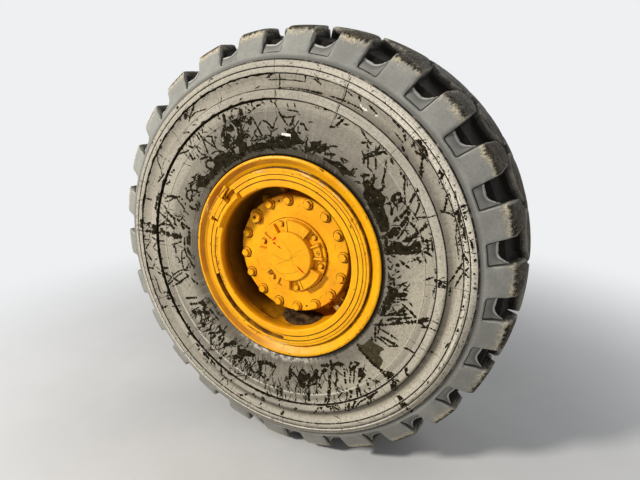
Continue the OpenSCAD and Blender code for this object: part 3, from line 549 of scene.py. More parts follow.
# %% Outlines of a lug, a block and one pitch
EDGE_RINGS = (-4.0, 0.0, 4.0, 10.0)    # how far from an edge points are laid, so that it can be rounded
FOOT_V = 2.0                           # where the lugs start, past the foot
SEAM_V, BESIDE_U = 215.0, 41.1         # the seam between two pitches turns here, to go round the block
BLOCK_U, BLOCK_V = 95.0, 33.8
lug_corners = [(-HALF_PITCH, FOOT_V), (-55.7, FOOT_V), (-53, 112), (-43.65, 214), (-7.8, 270), (7.8, 270),
               (43.65, 214), (53, 112), (55.7, FOOT_V), (HALF_PITCH, FOOT_V)]
lug = rounded(lug_corners, [0, 13, 0, 8, 8, 8, 8, 0, 13, 0])
other_lug = np.stack([lug[:, 0], 2 * V_MID - lug[:, 1]], 1)[::-1]
block_corners = [(34, 105), (82, 30), (82, -30), (34, -105), (-34, -105), (-82, -30), (-82, 30), (-34, 105)]
block = rounded([(HALF_PITCH + u, V_MID + v) for u, v in block_corners], [8] * 8, True)
half_seam = [(-HALF_PITCH, SEAM_V), (BESIDE_U - HALF_PITCH, SEAM_V), (BLOCK_U - HALF_PITCH, V_MID - BLOCK_V)]
seam = np.array(half_seam + [(u, 2 * V_MID - v) for u, v in reversed(half_seam)])
first_run = [(-HALF_PITCH, v) for v in [V_SEAM] + [FOOT_V + by for by in EDGE_RINGS]]
last_run = [(-HALF_PITCH, 2 * V_MID - v) for u, v in reversed(first_run)]
left_edge = divided(np.vstack([first_run, seam, last_run]), 10)
right_edge = left_edge + [2 * HALF_PITCH, 0]
foot_u = np.linspace(-HALF_PITCH, HALF_PITCH, STEPS_A_LUG + 1)
bottom = np.stack([foot_u, np.full(len(foot_u), V_SEAM)], 1)
top = np.stack([foot_u, np.full(len(foot_u), 2 * V_MID - V_SEAM)], 1)
border = np.vstack([bottom[:-1], right_edge[:-1], top[::-1][:-1], left_edge[::-1][:-1]])
print("outlines: lug", len(lug), "points, block", len(block), "points, pitch", len(border), "points")

# %% Lines of the plan
plan, wires = [tuple(p) for p in border], [(i, (i + 1) % len(border)) for i in range(len(border))]
for path, closed in ((lug, False), (other_lug, False), (block, True)):
    for by in EDGE_RINGS:
        ring_path = divided(shifted(path, by, closed), 7, closed)
        start = len(plan)
        plan += [tuple(p) for p in ring_path]
        wires += [(start + i, start + i + 1) for i in range(len(ring_path) - 1)]
        if closed:
            wires.append((len(plan) - 1, start))


def groove_distance(points):
    """Distance into the groove from the nearest edge of a lug or block: below 0 on top of them."""
    best = np.minimum(np.minimum(away(points, lug), away(points, other_lug)), away(points, block, True))
    wide, far, below = HALF_PITCH + 9, 2 * V_MID, 90
    near_side = [(wide, FOOT_V), (wide, -below), (-wide, -below)]
    far_side = [(-wide, far - FOOT_V), (-wide, far + below), (wide, far + below)]
    raised = inside(points, np.vstack([[(-wide, FOOT_V)], lug, near_side]))
    raised |= inside(points, np.vstack([[(wide, far - FOOT_V)], other_lug, far_side]))
    raised |= inside(points, block)
    return np.where(raised, -best, best)


# %% Points between the lines, closer together in the pockets
fill = [(u, v) for row, v in enumerate(np.arange(V_SEAM + 9, 2 * V_MID - V_SEAM - 5, 10.5))
        for u in np.arange(-HALF_PITCH + 5 + 6 * (row % 2), 3 * HALF_PITCH, 12)]
pocket = [(side_u + u, v if low else 2 * V_MID - v)
          for low in (True, False) for side_u in (-HALF_PITCH, HALF_PITCH)
          for v in np.arange(16, 104, 5) for u in np.arange(-37, 38, 6.5)]


def in_pocket(u, v):
    return abs(abs(u) - HALF_PITCH) < 40 and 14 < min(v, 2 * V_MID - v) < 106


fill = np.array([p for p in fill if not in_pocket(*p)] + pocket)
fill = fill[inside(fill, border)]
fill = fill[away(fill, border, True) > 4.5]
depth_in = groove_distance(fill)
fill = fill[(depth_in > 14) | (depth_in < -8)]
plan += [tuple(p) for p in fill]
print("plan:", len(plan), "points,", len(wires), "lines")

# %% One pitch as a mesh
made = delaunay_2d_cdt([Vector(p) for p in plan], wires, [], 1, 1e-5)
pitch_points = np.array([tuple(p) for p in made[0]])
pitch_faces = np.array(made[2])
middles = pitch_points[pitch_faces].mean(1)
pitch_faces = pitch_faces[inside(middles, border)]
p, q, r = (pitch_points[pitch_faces[:, i]] for i in range(3))
turn = (q - p)[:, 0] * (r - p)[:, 1] - (q - p)[:, 1] * (r - p)[:, 0]
pitch_faces = np.where((turn > 0)[:, None], pitch_faces[:, ::-1], pitch_faces)
print("one pitch:", len(pitch_points), "points,", len(pitch_faces), "triangles")

# %% [markdown]
# The floor between two lugs has two parts. At the side of the tyre it is a shallow pocket, which
# ends in a curved lip. Behind the lip it drops into the deep groove that crosses the tread.

# %% The groove floor
POCKET_SINK, POCKET_SLOPE = 5, 11      # how deep the pocket is at its foot, and how much deeper it gets
SHOULDER_V, SHOULDER_REACH = 109, 41   # where the deep groove comes round the shoulder
GROOVE_DEPTH = 40                      # on the crown


def floor_at(u, v):
    """Radius and out of the groove floor under points of the plan."""
    near = np.where(v > V_MID, 2 * V_MID - v, v)
    from_groove = np.where(u > 0, u - HALF_PITCH, u + HALF_PITCH) / 44
    r, out, nr, nout = on_curve(near)
    sink = POCKET_SINK + POCKET_SLOPE * np.clip((near - FOOT_V) / 41, 0, 1)
    pocket_r, pocket_out = r - nr * sink, out - nout * sink
    share = np.clip((near - SHOULDER_V) / SHOULDER_REACH, 0, 1)
    deep_r = np.interp(near, [50, SHOULDER_V], [745, 764]) * (1 - share) + (r - GROOVE_DEPTH * nr) * share
    deep_out = np.interp(near, [50, SHOULDER_V], [585, 575]) * (1 - share) + (out - GROOVE_DEPTH * nout) * share
    lip = 42 + 8 * np.clip(from_groove, 0, 1) ** 2 + 52 * np.clip(-from_groove, 0, 1) ** 2
    drop = np.clip((near - lip) / 9, 0, 1)
    drop = drop * drop * (3 - 2 * drop)
    floor_r = pocket_r * (1 - drop) + deep_r * drop
    floor_out = pocket_out * (1 - drop) + deep_out * drop
    return floor_r, np.where(v > V_MID, 2 * MID - floor_out, floor_out), 0.35 + 0.65 * drop, near - lip


# %% Bending the plan over the tyre
u, v = pitch_points.T
into = groove_distance(pitch_points)
share = np.interp(into, [0, 4, 10], [0, 0.9, 1.0])
round_off = np.interp(into, [-4, 0, 2], [0, 2.4, 0])
r, out, nr, nout = on_curve(v)
floor_r, floor_out, floor_deep, past_lip = floor_at(u, v)
pitch_r = r * (1 - share) + floor_r * share - nr * round_off
pitch_out = out * (1 - share) + floor_out * share - nout * round_off
pitch_values = {"deep": share * floor_deep, "edge": np.clip(into, -12, 12),
                "lip": np.where(into > 0, np.clip(past_lip, -40, 20), -40)}
print("pitch: radius", round(float(pitch_r.min()), 1), "to", round(float(pitch_r.max()), 1))

# %% Pitches round the tyre, between the two walls
tyre_points, tyre_faces = [outer_wall[0]], list(outer_wall[1])
for k in range(LUGS):
    start = sum(len(p) for p in tyre_points)
    turn_by = GROOVE_ANGLE + (2 * k + 1) * math.pi / LUGS
    tyre_points.append(place(pitch_r, turn_by + u / TYRE_R, pitch_out))
    tyre_faces += [tuple(f) for f in (pitch_faces + start).tolist()]
start = sum(len(p) for p in tyre_points)
tyre_points.append(inner_wall[0])
tyre_faces += [tuple(i + start for i in f) for f in inner_wall[1]]
carried = {name: np.concatenate([np.full(len(outer_wall[0]), on_walls), np.tile(pitch_values[name], LUGS),
                                 np.full(len(inner_wall[0]), on_walls)])
           for name, on_walls in (("deep", 0.0), ("edge", -12.0), ("lip", -40.0))}
tyre_points = np.vstack(tyre_points)
print("tyre:", len(tyre_points), "points,", len(tyre_faces), "faces")

# %% [markdown]
# Work rounds the edges of the lugs and chips them, each a little differently. A slow noise pushes
# points in, mostly at edges, and the points along the seams are joined last.

# %% Wear
worn = np.zeros(len(tyre_points))
for i in np.nonzero(np.hypot(tyre_points[:, 0], tyre_points[:, 2]) > 0.716)[0]:
    p = Vector(tyre_points[i])
    slow = noise.noise(p * 14) * 0.5 + 0.5
    quick = noise.noise(p * 55 + Vector((7, 3, 1))) * 0.5 + 0.5
    chip = max(0.0, noise.noise(p * 34 + Vector((1, 9, 4))) - 0.28) * 16
    near_edge = max(0.0, 1 - abs(carried["edge"][i]) / 9)
    worn[i] = 0.5 * slow + 0.5 * quick + near_edge * (1.6 * quick * slow + chip)
outwards = tyre_points * [1, 0, 1]
outwards /= np.linalg.norm(outwards, axis=1)[:, None]
tyre_points = tyre_points - outwards * (worn / 1000)[:, None]
print("wear: up to", round(float(worn.max()), 1), "mm")

# %% The tyre's mesh
tyre = mesh_piece("tyre_body", tyre_points, tyre_faces, rubber, smooth=None)
for attribute, values in carried.items():
    tyre.data.attributes.new(attribute, "FLOAT", "POINT").data.foreach_set("value", values.astype(np.float32))
joined = bmesh.new()
joined.from_mesh(tyre.data)
bmesh.ops.remove_doubles(joined, verts=joined.verts, dist=2e-5)
loose_edges = sum(edge.is_boundary for edge in joined.edges)
joined.to_mesh(tyre.data)
joined.free()
tyre.data.set_sharp_from_angle(angle=math.radians(38))
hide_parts("tyre")
tyre.data.calc_loop_triangles()
print("tyre_body:", len(tyre.data.loop_triangles), "triangles,", loose_edges, "open edges")

# %% [markdown]
# ## Scrapes and splashes
# The dust on this sidewall is scraped and spattered: dark patches where it came off in the wet,
# scratches from brush and stones, and torn creases, whose dark ring is partly bare rubber and partly a
# painted shadow in the steps of the rings. Such marks have crisp ragged edges, so they are thin films
# of mesh a third of a millimetre above the rubber, and not a soft noise in its finish.
# A patch is a ragged outline filled with triangles, with holes where the dust held. A scratch is a
# narrow ribbon with uneven sides. Each is given by angle in degrees and radius in millimetres.

# %% A film that lies on a surface
chance = random.Random(11)


def on_wall(radius, angle):
    return wall_at(radius)


class Film:
    """Flat marks that lie on a surface, gathered to make one mesh."""

    def __init__(self, lift=0.35, surface=on_wall):
        self.points, self.faces, self.lift, self.surface = [], [], lift, surface

    def add(self, flat, faces, lift=0.0):
        """Adds marks drawn flat, in millimetres in the plane of the wheel, laid on the surface."""
        start, flat = len(self.points), np.asarray(flat, float)
        radius, angle = np.hypot(*flat.T), np.arctan2(flat[:, 1], flat[:, 0])
        out = self.surface(radius, angle)
        self.points += place(radius, angle, out + self.lift + lift).tolist()
        self.faces += [tuple(start + int(i) for i in f) for f in faces
                       if self.surface is on_wall or np.ptp(out[list(f)]) < 3]

    def piece(self, name, material, slot="tyre_rubber"):
        made = mesh_piece(name, self.points, self.faces, material, smooth=60)
        print(name + ":", len(self.points), "points,", len(self.faces), "faces")
        return made


# %% A scratch
def sampled(path, step, closed=False):
    """Points at most step apart along a path of angles and radii, flat, in millimetres."""
    ends = list(path) + [path[0]] if closed else list(path)
    made = []
    for (a, r), (a2, r2) in zip(ends[:-1], ends[1:]):
        length = math.hypot(r2 - r, math.radians(a2 - a) * (r + r2) / 2)
        parts = max(1, round(length / step))
        made += [(a + (a2 - a) * k / parts, r + (r2 - r) * k / parts) for k in range(parts)]
    if not closed:
        made.append(ends[-1])
    a, r = np.radians([m[0] for m in made]), np.array([m[1] for m in made])
    return np.stack([r * np.cos(a), r * np.sin(a)], 1)


def rough(x, y, grain, seed=0.0):
    """Noise from about -1 to 1 whose clumps are about grain millimetres wide."""
    return noise.noise(Vector((x / grain, y / grain, seed))) * 1.6


def scratch(film, path, width, wobble=1.0):
    """A ribbon along the path with uneven sides, drawn out to a point at each end."""
    line = sampled(path, 2.6)
    if len(line) < 3:
        return
    seed, wander = chance.uniform(0, 90), chance.uniform(0.6, 1.4) * wobble
    ahead = np.gradient(line, axis=0)
    ahead /= np.hypot(*ahead.T)[:, None]
    across = np.stack([-ahead[:, 1], ahead[:, 0]], 1)
    line = line + across * np.array([rough(x, y, 16, seed) * wander for x, y in line])[:, None]
    t = np.linspace(0, 1, len(line))
    taper = np.minimum(1, np.minimum(t, 1 - t) * len(line) / 3.5) ** 0.7
    uneven = np.array([max(0.15, 0.8 + 0.6 * rough(x, y, 5, seed + 9)) for x, y in line])
    half = width * 0.62 * uneven * taper + 0.15
    sides = np.stack([line + across * half[:, None], line - across * half[:, None]], 1).reshape(-1, 2)
    faces = [(2 * i, 2 * i + 1, 2 * i + 3, 2 * i + 2) for i in range(len(line) - 1)
             if rough(*line[i], 9, seed + 20) < 0.85]
    film.add(sides, faces, chance.uniform(0, 0.25))


# %% A patch
def patch(film, corners, holes=0.5, ragged=3.4, fringe=5):
    """A ragged patch inside the corners, with holes where the noise is high and a torn fringe."""
    edge = sampled(corners, 3.0, True)
    around = np.roll(edge, -1, 0) - np.roll(edge, 1, 0)
    around /= np.hypot(*around.T)[:, None] + 1e-9
    seed = chance.uniform(0, 90)
    push = np.array([ragged * (rough(x, y, 14, seed) + 0.7 * rough(x, y, 5, seed + 3)) for x, y in edge])
    edge = edge + np.stack([around[:, 1], -around[:, 0]], 1) * push[:, None]
    low, high = edge.min(0), edge.max(0)
    grid = np.array([(x + chance.uniform(-1, 1), y + chance.uniform(-1, 1))
                     for x in np.arange(low[0], high[0], 4.6) for y in np.arange(low[1], high[1], 4.6)])
    grid = grid[inside(grid, edge)]
    grid = grid[away(grid, edge, True) > 2.2]
    wires = [(i, (i + 1) % len(edge)) for i in range(len(edge))]
    made = delaunay_2d_cdt([Vector(p) for p in np.vstack([edge, grid])], wires, [], 1, 1e-4)
    flat, faces = np.array([tuple(p) for p in made[0]]), np.array(made[2])
    middles = flat[faces].mean(1)
    keep = inside(middles, edge) & np.array([rough(x, y, 6, seed + 40) < holes + 0.3 for x, y in middles])
    faces = faces[keep]
    p, q, r = (flat[faces[:, i]] for i in range(3))
    left = (q - p)[:, 0] * (r - p)[:, 1] - (q - p)[:, 1] * (r - p)[:, 0] > 0
    film.add(flat, np.where(left[:, None], faces, faces[:, ::-1]), chance.uniform(0, 0.15))
    for k in range(round(fringe * len(edge) / 20)):
        x, y = chance.choice(edge)
        a, r = math.atan2(y, x), math.hypot(x, y)
        tilt = math.radians(chance.gauss(0, 30))
        size = chance.uniform(8, 34) * chance.choice((-1, 1, 1))
        end = (math.degrees(a + math.sin(tilt) * size / r), r + math.cos(tilt) * size)
        scratch(film, [(math.degrees(a), r), end], chance.uniform(2, 6))


# %% Many marks at once
def scatter(film, count, angles, radii, length, lean, width):
    """Scratches of about the length, each leaning so many degrees from the radial direction."""
    for k in range(count):
        a, r = math.radians(chance.uniform(*angles)), chance.uniform(*radii)
        tilt, size = math.radians(chance.uniform(*lean)), length * chance.uniform(0.4, 1.5)
        path = [(math.degrees(a), r)]
        for part in range(3):
            tilt += chance.uniform(-0.25, 0.25)
            r = min(r + math.cos(tilt) * size / 3, radii[1] + 12)
            a += math.sin(tilt) * size / 3 / r
            path.append((math.degrees(a), r))
        scratch(film, path, width * chance.uniform(0.6, 1.5))


def splatter(film, count, angles, radii, size):
    """Small torn spots."""
    for k in range(count):
        a, r, s = chance.uniform(*angles), chance.uniform(*radii), size * chance.uniform(0.5, 1.5)
        turns = [k * 0.9 + chance.uniform(-0.3, 0.3) for k in range(7)]
        patch(film, [(a + math.degrees(s * math.cos(t) * chance.uniform(0.5, 1.3) / r),
                      r + s * math.sin(t) * chance.uniform(0.5, 1.3)) for t in turns], 0.6, size / 4, 4)


# %% A torn crease, partly a painted shadow
def torn_crease_and_shadow(film, radius, first, last, narrow, wide, spike, way=-1):
    """A ragged dark ring along a crease, with spikes torn out of it, inwards or outwards: partly bare rubber,
    and partly a painted shadow in the crease.
    """
    seed = chance.uniform(0, 90)
    angles = np.arange(first, last, 0.35)
    ends = np.clip(np.minimum(angles - first, last - angles) / 6, 0, 1)
    knots = np.unique(np.concatenate([wall_radius[np.abs(wall_radius - radius) < wide], [radius]]))
    rows = []
    for angle, end in zip(angles, ends):
        low, high = (end * (narrow + (wide - narrow) * max(0, rough(angle, 0, 2.2, seed + s))) / 2
                     for s in (0, 7))
        between = np.clip(knots, radius - low, radius + high)
        rows.append(np.concatenate([[radius - low], between, [radius + high]]))
    rows = np.array(rows)
    a = np.radians(angles)[:, None]
    flat = np.stack([rows * np.cos(a), rows * np.sin(a)], -1).reshape(-1, 2)
    n = rows.shape[1]
    film.add(flat, [(i * n + j, i * n + j + 1, i * n + n + j + 1, i * n + n + j)
                    for i in range(len(rows) - 1) for j in range(n - 1)
                    if rows[i, j + 1] - rows[i, j] + rows[i + 1, j + 1] - rows[i + 1, j] > 0.02])
    angle = first + 4
    while angle < last - 3:
        size = spike * chance.uniform(0.3, 1.4)
        end = (angle + chance.uniform(-1.5, 1.5), radius + way * size)
        scratch(film, [(angle, radius + way * 1.5), end], chance.uniform(3, 6))
        angle += chance.uniform(1.6, 5)


# %% [markdown]
# The marks were read off the photograph, as if they were drawn on the plane of the rim's lip:
# an angle in degrees, and a radius in steps of LIP_STEP. The sidewall stands a little behind or
# before that plane, so each point is moved along its line of sight until it meets the sidewall.

# %% From the lip's plane to the sidewall
LIP_STEP = 0.953             # millimetres
FLANK_OUT = BULGE - 8.0      # where a point is looked for first
EYE_X, EYE_OUT, EYE_Z = CAMERA_AT[0] * 1000, -CAMERA_AT[1] * 1000, CAMERA_AT[2] * 1000


def behind(numbers):
    """Angles and radii on the sidewall, from angles and radii seen against the plane of the lip."""
    made = []
    for angle, radius in zip(numbers[::2], numbers[1::2]):
        a, r, out = math.radians(angle), radius * LIP_STEP, FLANK_OUT
        for k in range(3):
            share = (EYE_OUT - out) / (EYE_OUT - LIP)
            x, z = EYE_X + (r * math.cos(a) - EYE_X) * share, EYE_Z + (r * math.sin(a) - EYE_Z) * share
            out = float(wall_at(math.hypot(x, z)))
        turn = (math.degrees(math.atan2(z, x)) - angle + 180) % 360 - 180
        made.append((angle + turn, math.hypot(x, z)))
    return made


print("seen at 45 degrees and 500 steps:", [round(x, 1) for x in behind((45, 500))[0]])

# %% [markdown]
# In the wet, dust came off in patches with ragged edges. Each row goes round the corners of one
# patch: an angle, a radius, the next angle, and so on.

# %% Patches that came off in the wet
PATCHES = (
    (10.5, 520, 11, 540, 11.5, 547, 13, 550, 15, 545, 15.3, 535, 14.4, 520, 13.8, 500, 15.3, 485, 15.9,
     475, 17, 462, 15, 452, 15, 436, 17.5, 440, 20.2, 432, 20.2, 420, 18.5, 428, 15, 418, 11.5, 412, 10.8,
     420, 10.7, 460, 10.2, 490), (15.6, 525, 17.3, 520, 17.2, 500, 16.2, 490, 15.7, 482, 15.3, 505),
    (18.2, 460, 20, 475, 22, 490, 22.3, 465, 21, 450, 20.2, 435, 18, 445),
    (21.6, 445, 22.5, 460, 26, 465, 28.8, 467, 32, 470, 34.6, 495, 37.5, 490, 40.4, 482, 45, 480, 45, 455,
     41.8, 445, 40.4, 425, 37.5, 427, 31.7, 420, 26, 420, 21.9, 425),
    (37, 675, 38.5, 690, 43, 693, 43.5, 680, 41, 672, 39, 670), (18.5, 682, 18.5, 693, 22, 697, 22, 684),
    (31.5, 686, 31.5, 694, 33.7, 694, 33.7, 688),
    (48.8, 450, 52, 455, 56, 452, 58, 460, 60, 450, 65, 442, 66, 432, 60, 430, 55, 430, 52, 438),
    (65.2, 482, 66.9, 480, 69, 475, 69.8, 487, 72.7, 475, 74.7, 470, 73.8, 455, 75.6, 450, 77, 450, 75.6,
     430, 73.8, 435, 71, 447, 68.6, 442, 66.3, 460),
    (77, 462, 79.3, 470, 81.6, 490, 82.8, 505, 85.4, 495, 86, 485, 90, 470, 94, 462, 94, 430, 90, 425,
     85.4, 425, 82.5, 440, 79.6, 450, 77.6, 452),
    (93, 455, 98, 450, 103, 452, 107, 445, 108, 425, 104, 422, 100, 418, 96, 424, 93, 424),
    (107, 460, 108.5, 480, 112, 489, 113, 490, 115, 470, 115, 461, 112.2, 461, 112.2, 415, 110.2, 415, 109,
     430, 107.3, 440), (112, 431, 112, 415, 115.4, 415, 115, 431),
    (114.6, 468, 119, 465, 121.7, 470, 124.6, 472, 129, 480, 129.5, 460, 131, 450, 135, 450, 137.9, 457,
     139.9, 480, 142.5, 477, 145.7, 467, 146, 455, 143.7, 440, 143.4, 430, 139.3, 425, 135, 421, 130.4,
     420, 127, 420, 124.6, 415, 119, 415, 114.6, 415),
    (153.5, 414, 153.6, 436, 155, 440, 156.5, 424, 156.2, 412),
    (148, 433, 148.2, 440, 149.5, 439, 149.4, 432),
    (160.1, 595, 159.2, 572, 157.5, 552, 157.3, 568, 158.4, 580),
    (172.2, 652, 173, 680, 172.5, 700, 172.2, 712, 175.5, 712, 175.2, 700, 173.9, 690, 173.4, 672, 173.2,
     652), (172.5, 610, 172.9, 640, 174, 645, 175.2, 640, 176.2, 645, 176.2, 612),
    (203.5, 615, 203.8, 606, 204.8, 602, 206, 612, 206, 622, 203.7, 624),
    (200.6, 625, 200.8, 640, 202, 636, 201.8, 622), (219.2, 640, 221, 640, 220.6, 626, 219.4, 630),
    (210.3, 495, 211.8, 480, 214.2, 470, 214.8, 455, 212, 449, 209.8, 450, 210.5, 465),
    (230, 640, 230.5, 645, 232, 642, 233.5, 638, 233, 618, 230, 615),
    (234, 635, 237, 645, 237, 618, 234, 615), (226.7, 465, 229.6, 480, 229.8, 458, 226.5, 455),
    (235.8, 505, 237.5, 498, 239.5, 475, 241, 458, 238.5, 455, 236.5, 470),
    (241.4, 545, 243.5, 530, 245.2, 515, 244.8, 505, 242.5, 510),
    (243, 505, 246, 500, 248, 480, 252, 470, 252.7, 452, 249, 448, 246, 455, 243.5, 470, 241, 460, 242,
     480), (251.2, 570, 253.3, 566, 253.2, 552, 251.4, 554),
    (254.5, 475, 256, 495, 257.8, 505, 258, 480, 261, 470, 265, 480, 266, 460, 262, 450, 258, 455),
    (277.5, 530, 280.1, 540, 281.3, 505, 284, 497, 283.5, 475, 280.5, 470, 278.3, 465, 277.3, 490),
    (272.3, 510, 273.5, 505, 274.5, 490, 275, 455, 273, 455, 272.5, 480),
    (287.6, 612, 288.4, 623, 291, 618, 293.4, 616, 293.2, 610, 290, 608),
    (305.8, 613, 307.2, 628, 309, 620, 311.5, 610, 311.5, 602, 308, 604),
    (307.2, 532, 311.3, 535, 312.1, 505, 310.4, 498, 308.6, 512),
    (297, 458, 301, 455, 305.2, 468, 305, 452, 301.7, 441, 297.4, 443),
    (315, 705, 317.6, 710, 317.4, 680, 317.3, 662, 316, 660, 315.5, 690),
    (317, 640, 319, 640, 319.8, 612, 317.4, 610),
    (317.8, 610, 322, 606, 321.3, 578, 320.2, 566, 318.8, 573, 318, 590),
    (339.8, 440, 343.8, 445, 345.6, 452, 347.9, 455, 349, 467, 351.3, 460, 353.4, 467, 355.4, 465, 355.4,
     445, 356, 440, 356, 420, 353.9, 430, 349.6, 425, 345.3, 420, 342.4, 415, 339.5, 417),
    (343.5, 597, 344, 590, 347.5, 592, 348, 598), (340.5, 498, 341.5, 500, 342.2, 494, 340.8, 487),
    (359, 600, 358.9, 590, 361, 588, 362, 600, 360.5, 612),
)
scrapes = Film()
for corners in PATCHES:
    patch(scrapes, behind(corners), 0.6, 2.6, 2.5)
print("patches:", len(scrapes.faces), "triangles")

# %% [markdown]
# Stones and brush left long thin scratches. Here they are in six groups, round the tyre. Each row is
# one scratch: how wide it looks, in small steps, and then its angles and radii in turn.

# %% Drawing a group of scratches
THINNEST, WIDTH_STEP = 0.8, 1.25


def scratches(rows):
    for width, *numbers in rows:
        scratch(scrapes, behind(numbers), THINNEST + WIDTH_STEP * width, 0.7)
    print("with", len(rows), "more scratches:", len(scrapes.faces), "faces")


# %% Scratches on the right
scratches((
    (4, 0, 652, 2.2, 662, 4.3, 675, 6.2, 695),
    (4, 0, 622, 1.7, 637, 3.7, 650, 6.2, 667, 7.4, 675, 11, 681, 12.4, 680),
    (4, 3.2, 695, 3.9, 687, 5.5, 675, 6.6, 665), (4, 7.4, 696, 8.9, 685, 10.1, 682),
    (2, 8.1, 665, 12.7, 664, 15, 665, 18.7, 677), (2, 10.7, 672, 11.5, 666), (6, 12.4, 680, 18.5, 686),
    (4, 13.5, 693, 18.5, 694), (4, 20.2, 677, 21.6, 665, 22.6, 645, 23.5, 637), (6, 22.5, 726, 22.5, 695),
    (3, 22.2, 622, 22.2, 600, 22.6, 585, 23.4, 560), (5, 22.2, 647, 24, 660, 25.4, 670, 27.1, 681),
    (4, 22.8, 677, 27.1, 685), (4, 24.5, 696, 26.8, 704), (5, 28.3, 675, 30.6, 681, 32, 686),
    (4, 30, 669, 33.5, 690), (6, 33.7, 625, 35.8, 640, 37.5, 655, 38.8, 670, 40.4, 682),
    (4, 34.9, 648, 35.8, 640), (6, 37.5, 672, 38.7, 675, 40.4, 662, 41.5, 660), (4, 41.5, 665, 44.1, 677),
    (3, 42.4, 660, 43.6, 665), (6, 43, 632, 45, 640), (4, 40.4, 627, 42.7, 630), (6, 7.4, 710, 8.7, 720),
    (9, 0.2, 714, 1, 717), (6, 1.5, 715, 2.1, 714), (5, 4.1, 712, 4.8, 711), (4, 10.6, 711, 13.4, 710),
    (4, 15, 710, 15.8, 711), (4, 18.6, 708, 20.4, 707), (4, 35, 706, 35.4, 704),
    (10, 0, 600, 1, 592, 2.4, 588), (3, 2.6, 585, 1.7, 567, 0.6, 547), (4, 3.5, 590, 5.5, 586),
    (5, 9.2, 582, 10.7, 567, 11.5, 550), (4, 10.8, 584, 15.4, 586), (6, 14.7, 585, 15, 545),
    (4, 12, 580, 12.6, 556), (4, 13.6, 583, 13.2, 560), (4, 10.8, 568, 15.2, 572),
    (4, 7.1, 559, 9.8, 551, 11.5, 547), (4, 7.1, 550, 7.6, 540, 8.7, 525), (3, 6.6, 532, 7.6, 537),
    (5, 9.4, 540, 8.7, 525, 7.6, 507), (5, 4.6, 505, 5.8, 492, 6.8, 480, 8.5, 467), (3, 6.9, 492, 8.2,
     502), (4, 0, 455, 1, 467, 2, 472), (7, 2.7, 452, 3.6, 467), (7, 5.2, 467, 6.2, 462, 5.8, 450),
    (3, 0.9, 437, 2.3, 452), (3, 2.9, 447, 4.6, 455), (6, 3.6, 440, 4.3, 430, 6, 422),
    (7, 0, 440, 0.6, 427, 2.9, 424), (3, 4.3, 435, 6.6, 445), (6, 6.8, 440, 8.4, 427, 9.8, 430),
    (8, 9.3, 450, 10.7, 452), (8, 15.3, 510, 17.3, 535, 18.5, 555, 19.9, 580, 21.3, 592),
    (5, 14.9, 562, 17.3, 552, 20.2, 542, 22.8, 530), (4, 17, 522, 19, 512, 20.8, 507),
    (4, 17, 470, 20.2, 505, 22.5, 525, 24.2, 535),
    (9, 18.5, 467, 21.3, 490, 23.1, 515, 25.1, 535, 26.8, 550),
    (5, 22.8, 540, 24.5, 560, 26.8, 582, 28.8, 590, 32.3, 602), (9, 27.5, 588, 32, 600),
    (3, 21.9, 562, 26.5, 550), (7, 24.5, 485, 25.1, 505, 26.8, 535, 28.3, 555), (8, 24, 475, 26, 500),
    (5, 28.8, 555, 30.6, 585, 32.3, 597), (3, 28.3, 545, 31.2, 532),
    (4, 28.8, 540, 31.7, 552, 34.6, 567, 36, 580, 37.5, 584), (7, 36, 579, 38, 585),
    (7, 38, 577, 39.2, 584), (6, 42.3, 577, 44.7, 587),
    (8, 30.3, 520, 31.4, 537, 33.2, 540, 33.6, 525, 32.6, 510, 30.9, 507, 29.4, 510),
    (7, 31.4, 502, 32.3, 482), (9, 27, 480, 30, 495), (9, 37.5, 490, 39, 512, 40.7, 520),
    (5, 39.5, 505, 41.8, 535, 43.3, 550, 45, 570), (4, 41.3, 475, 43, 500, 45, 505),
    (3, 41.5, 480, 44.1, 495),
))

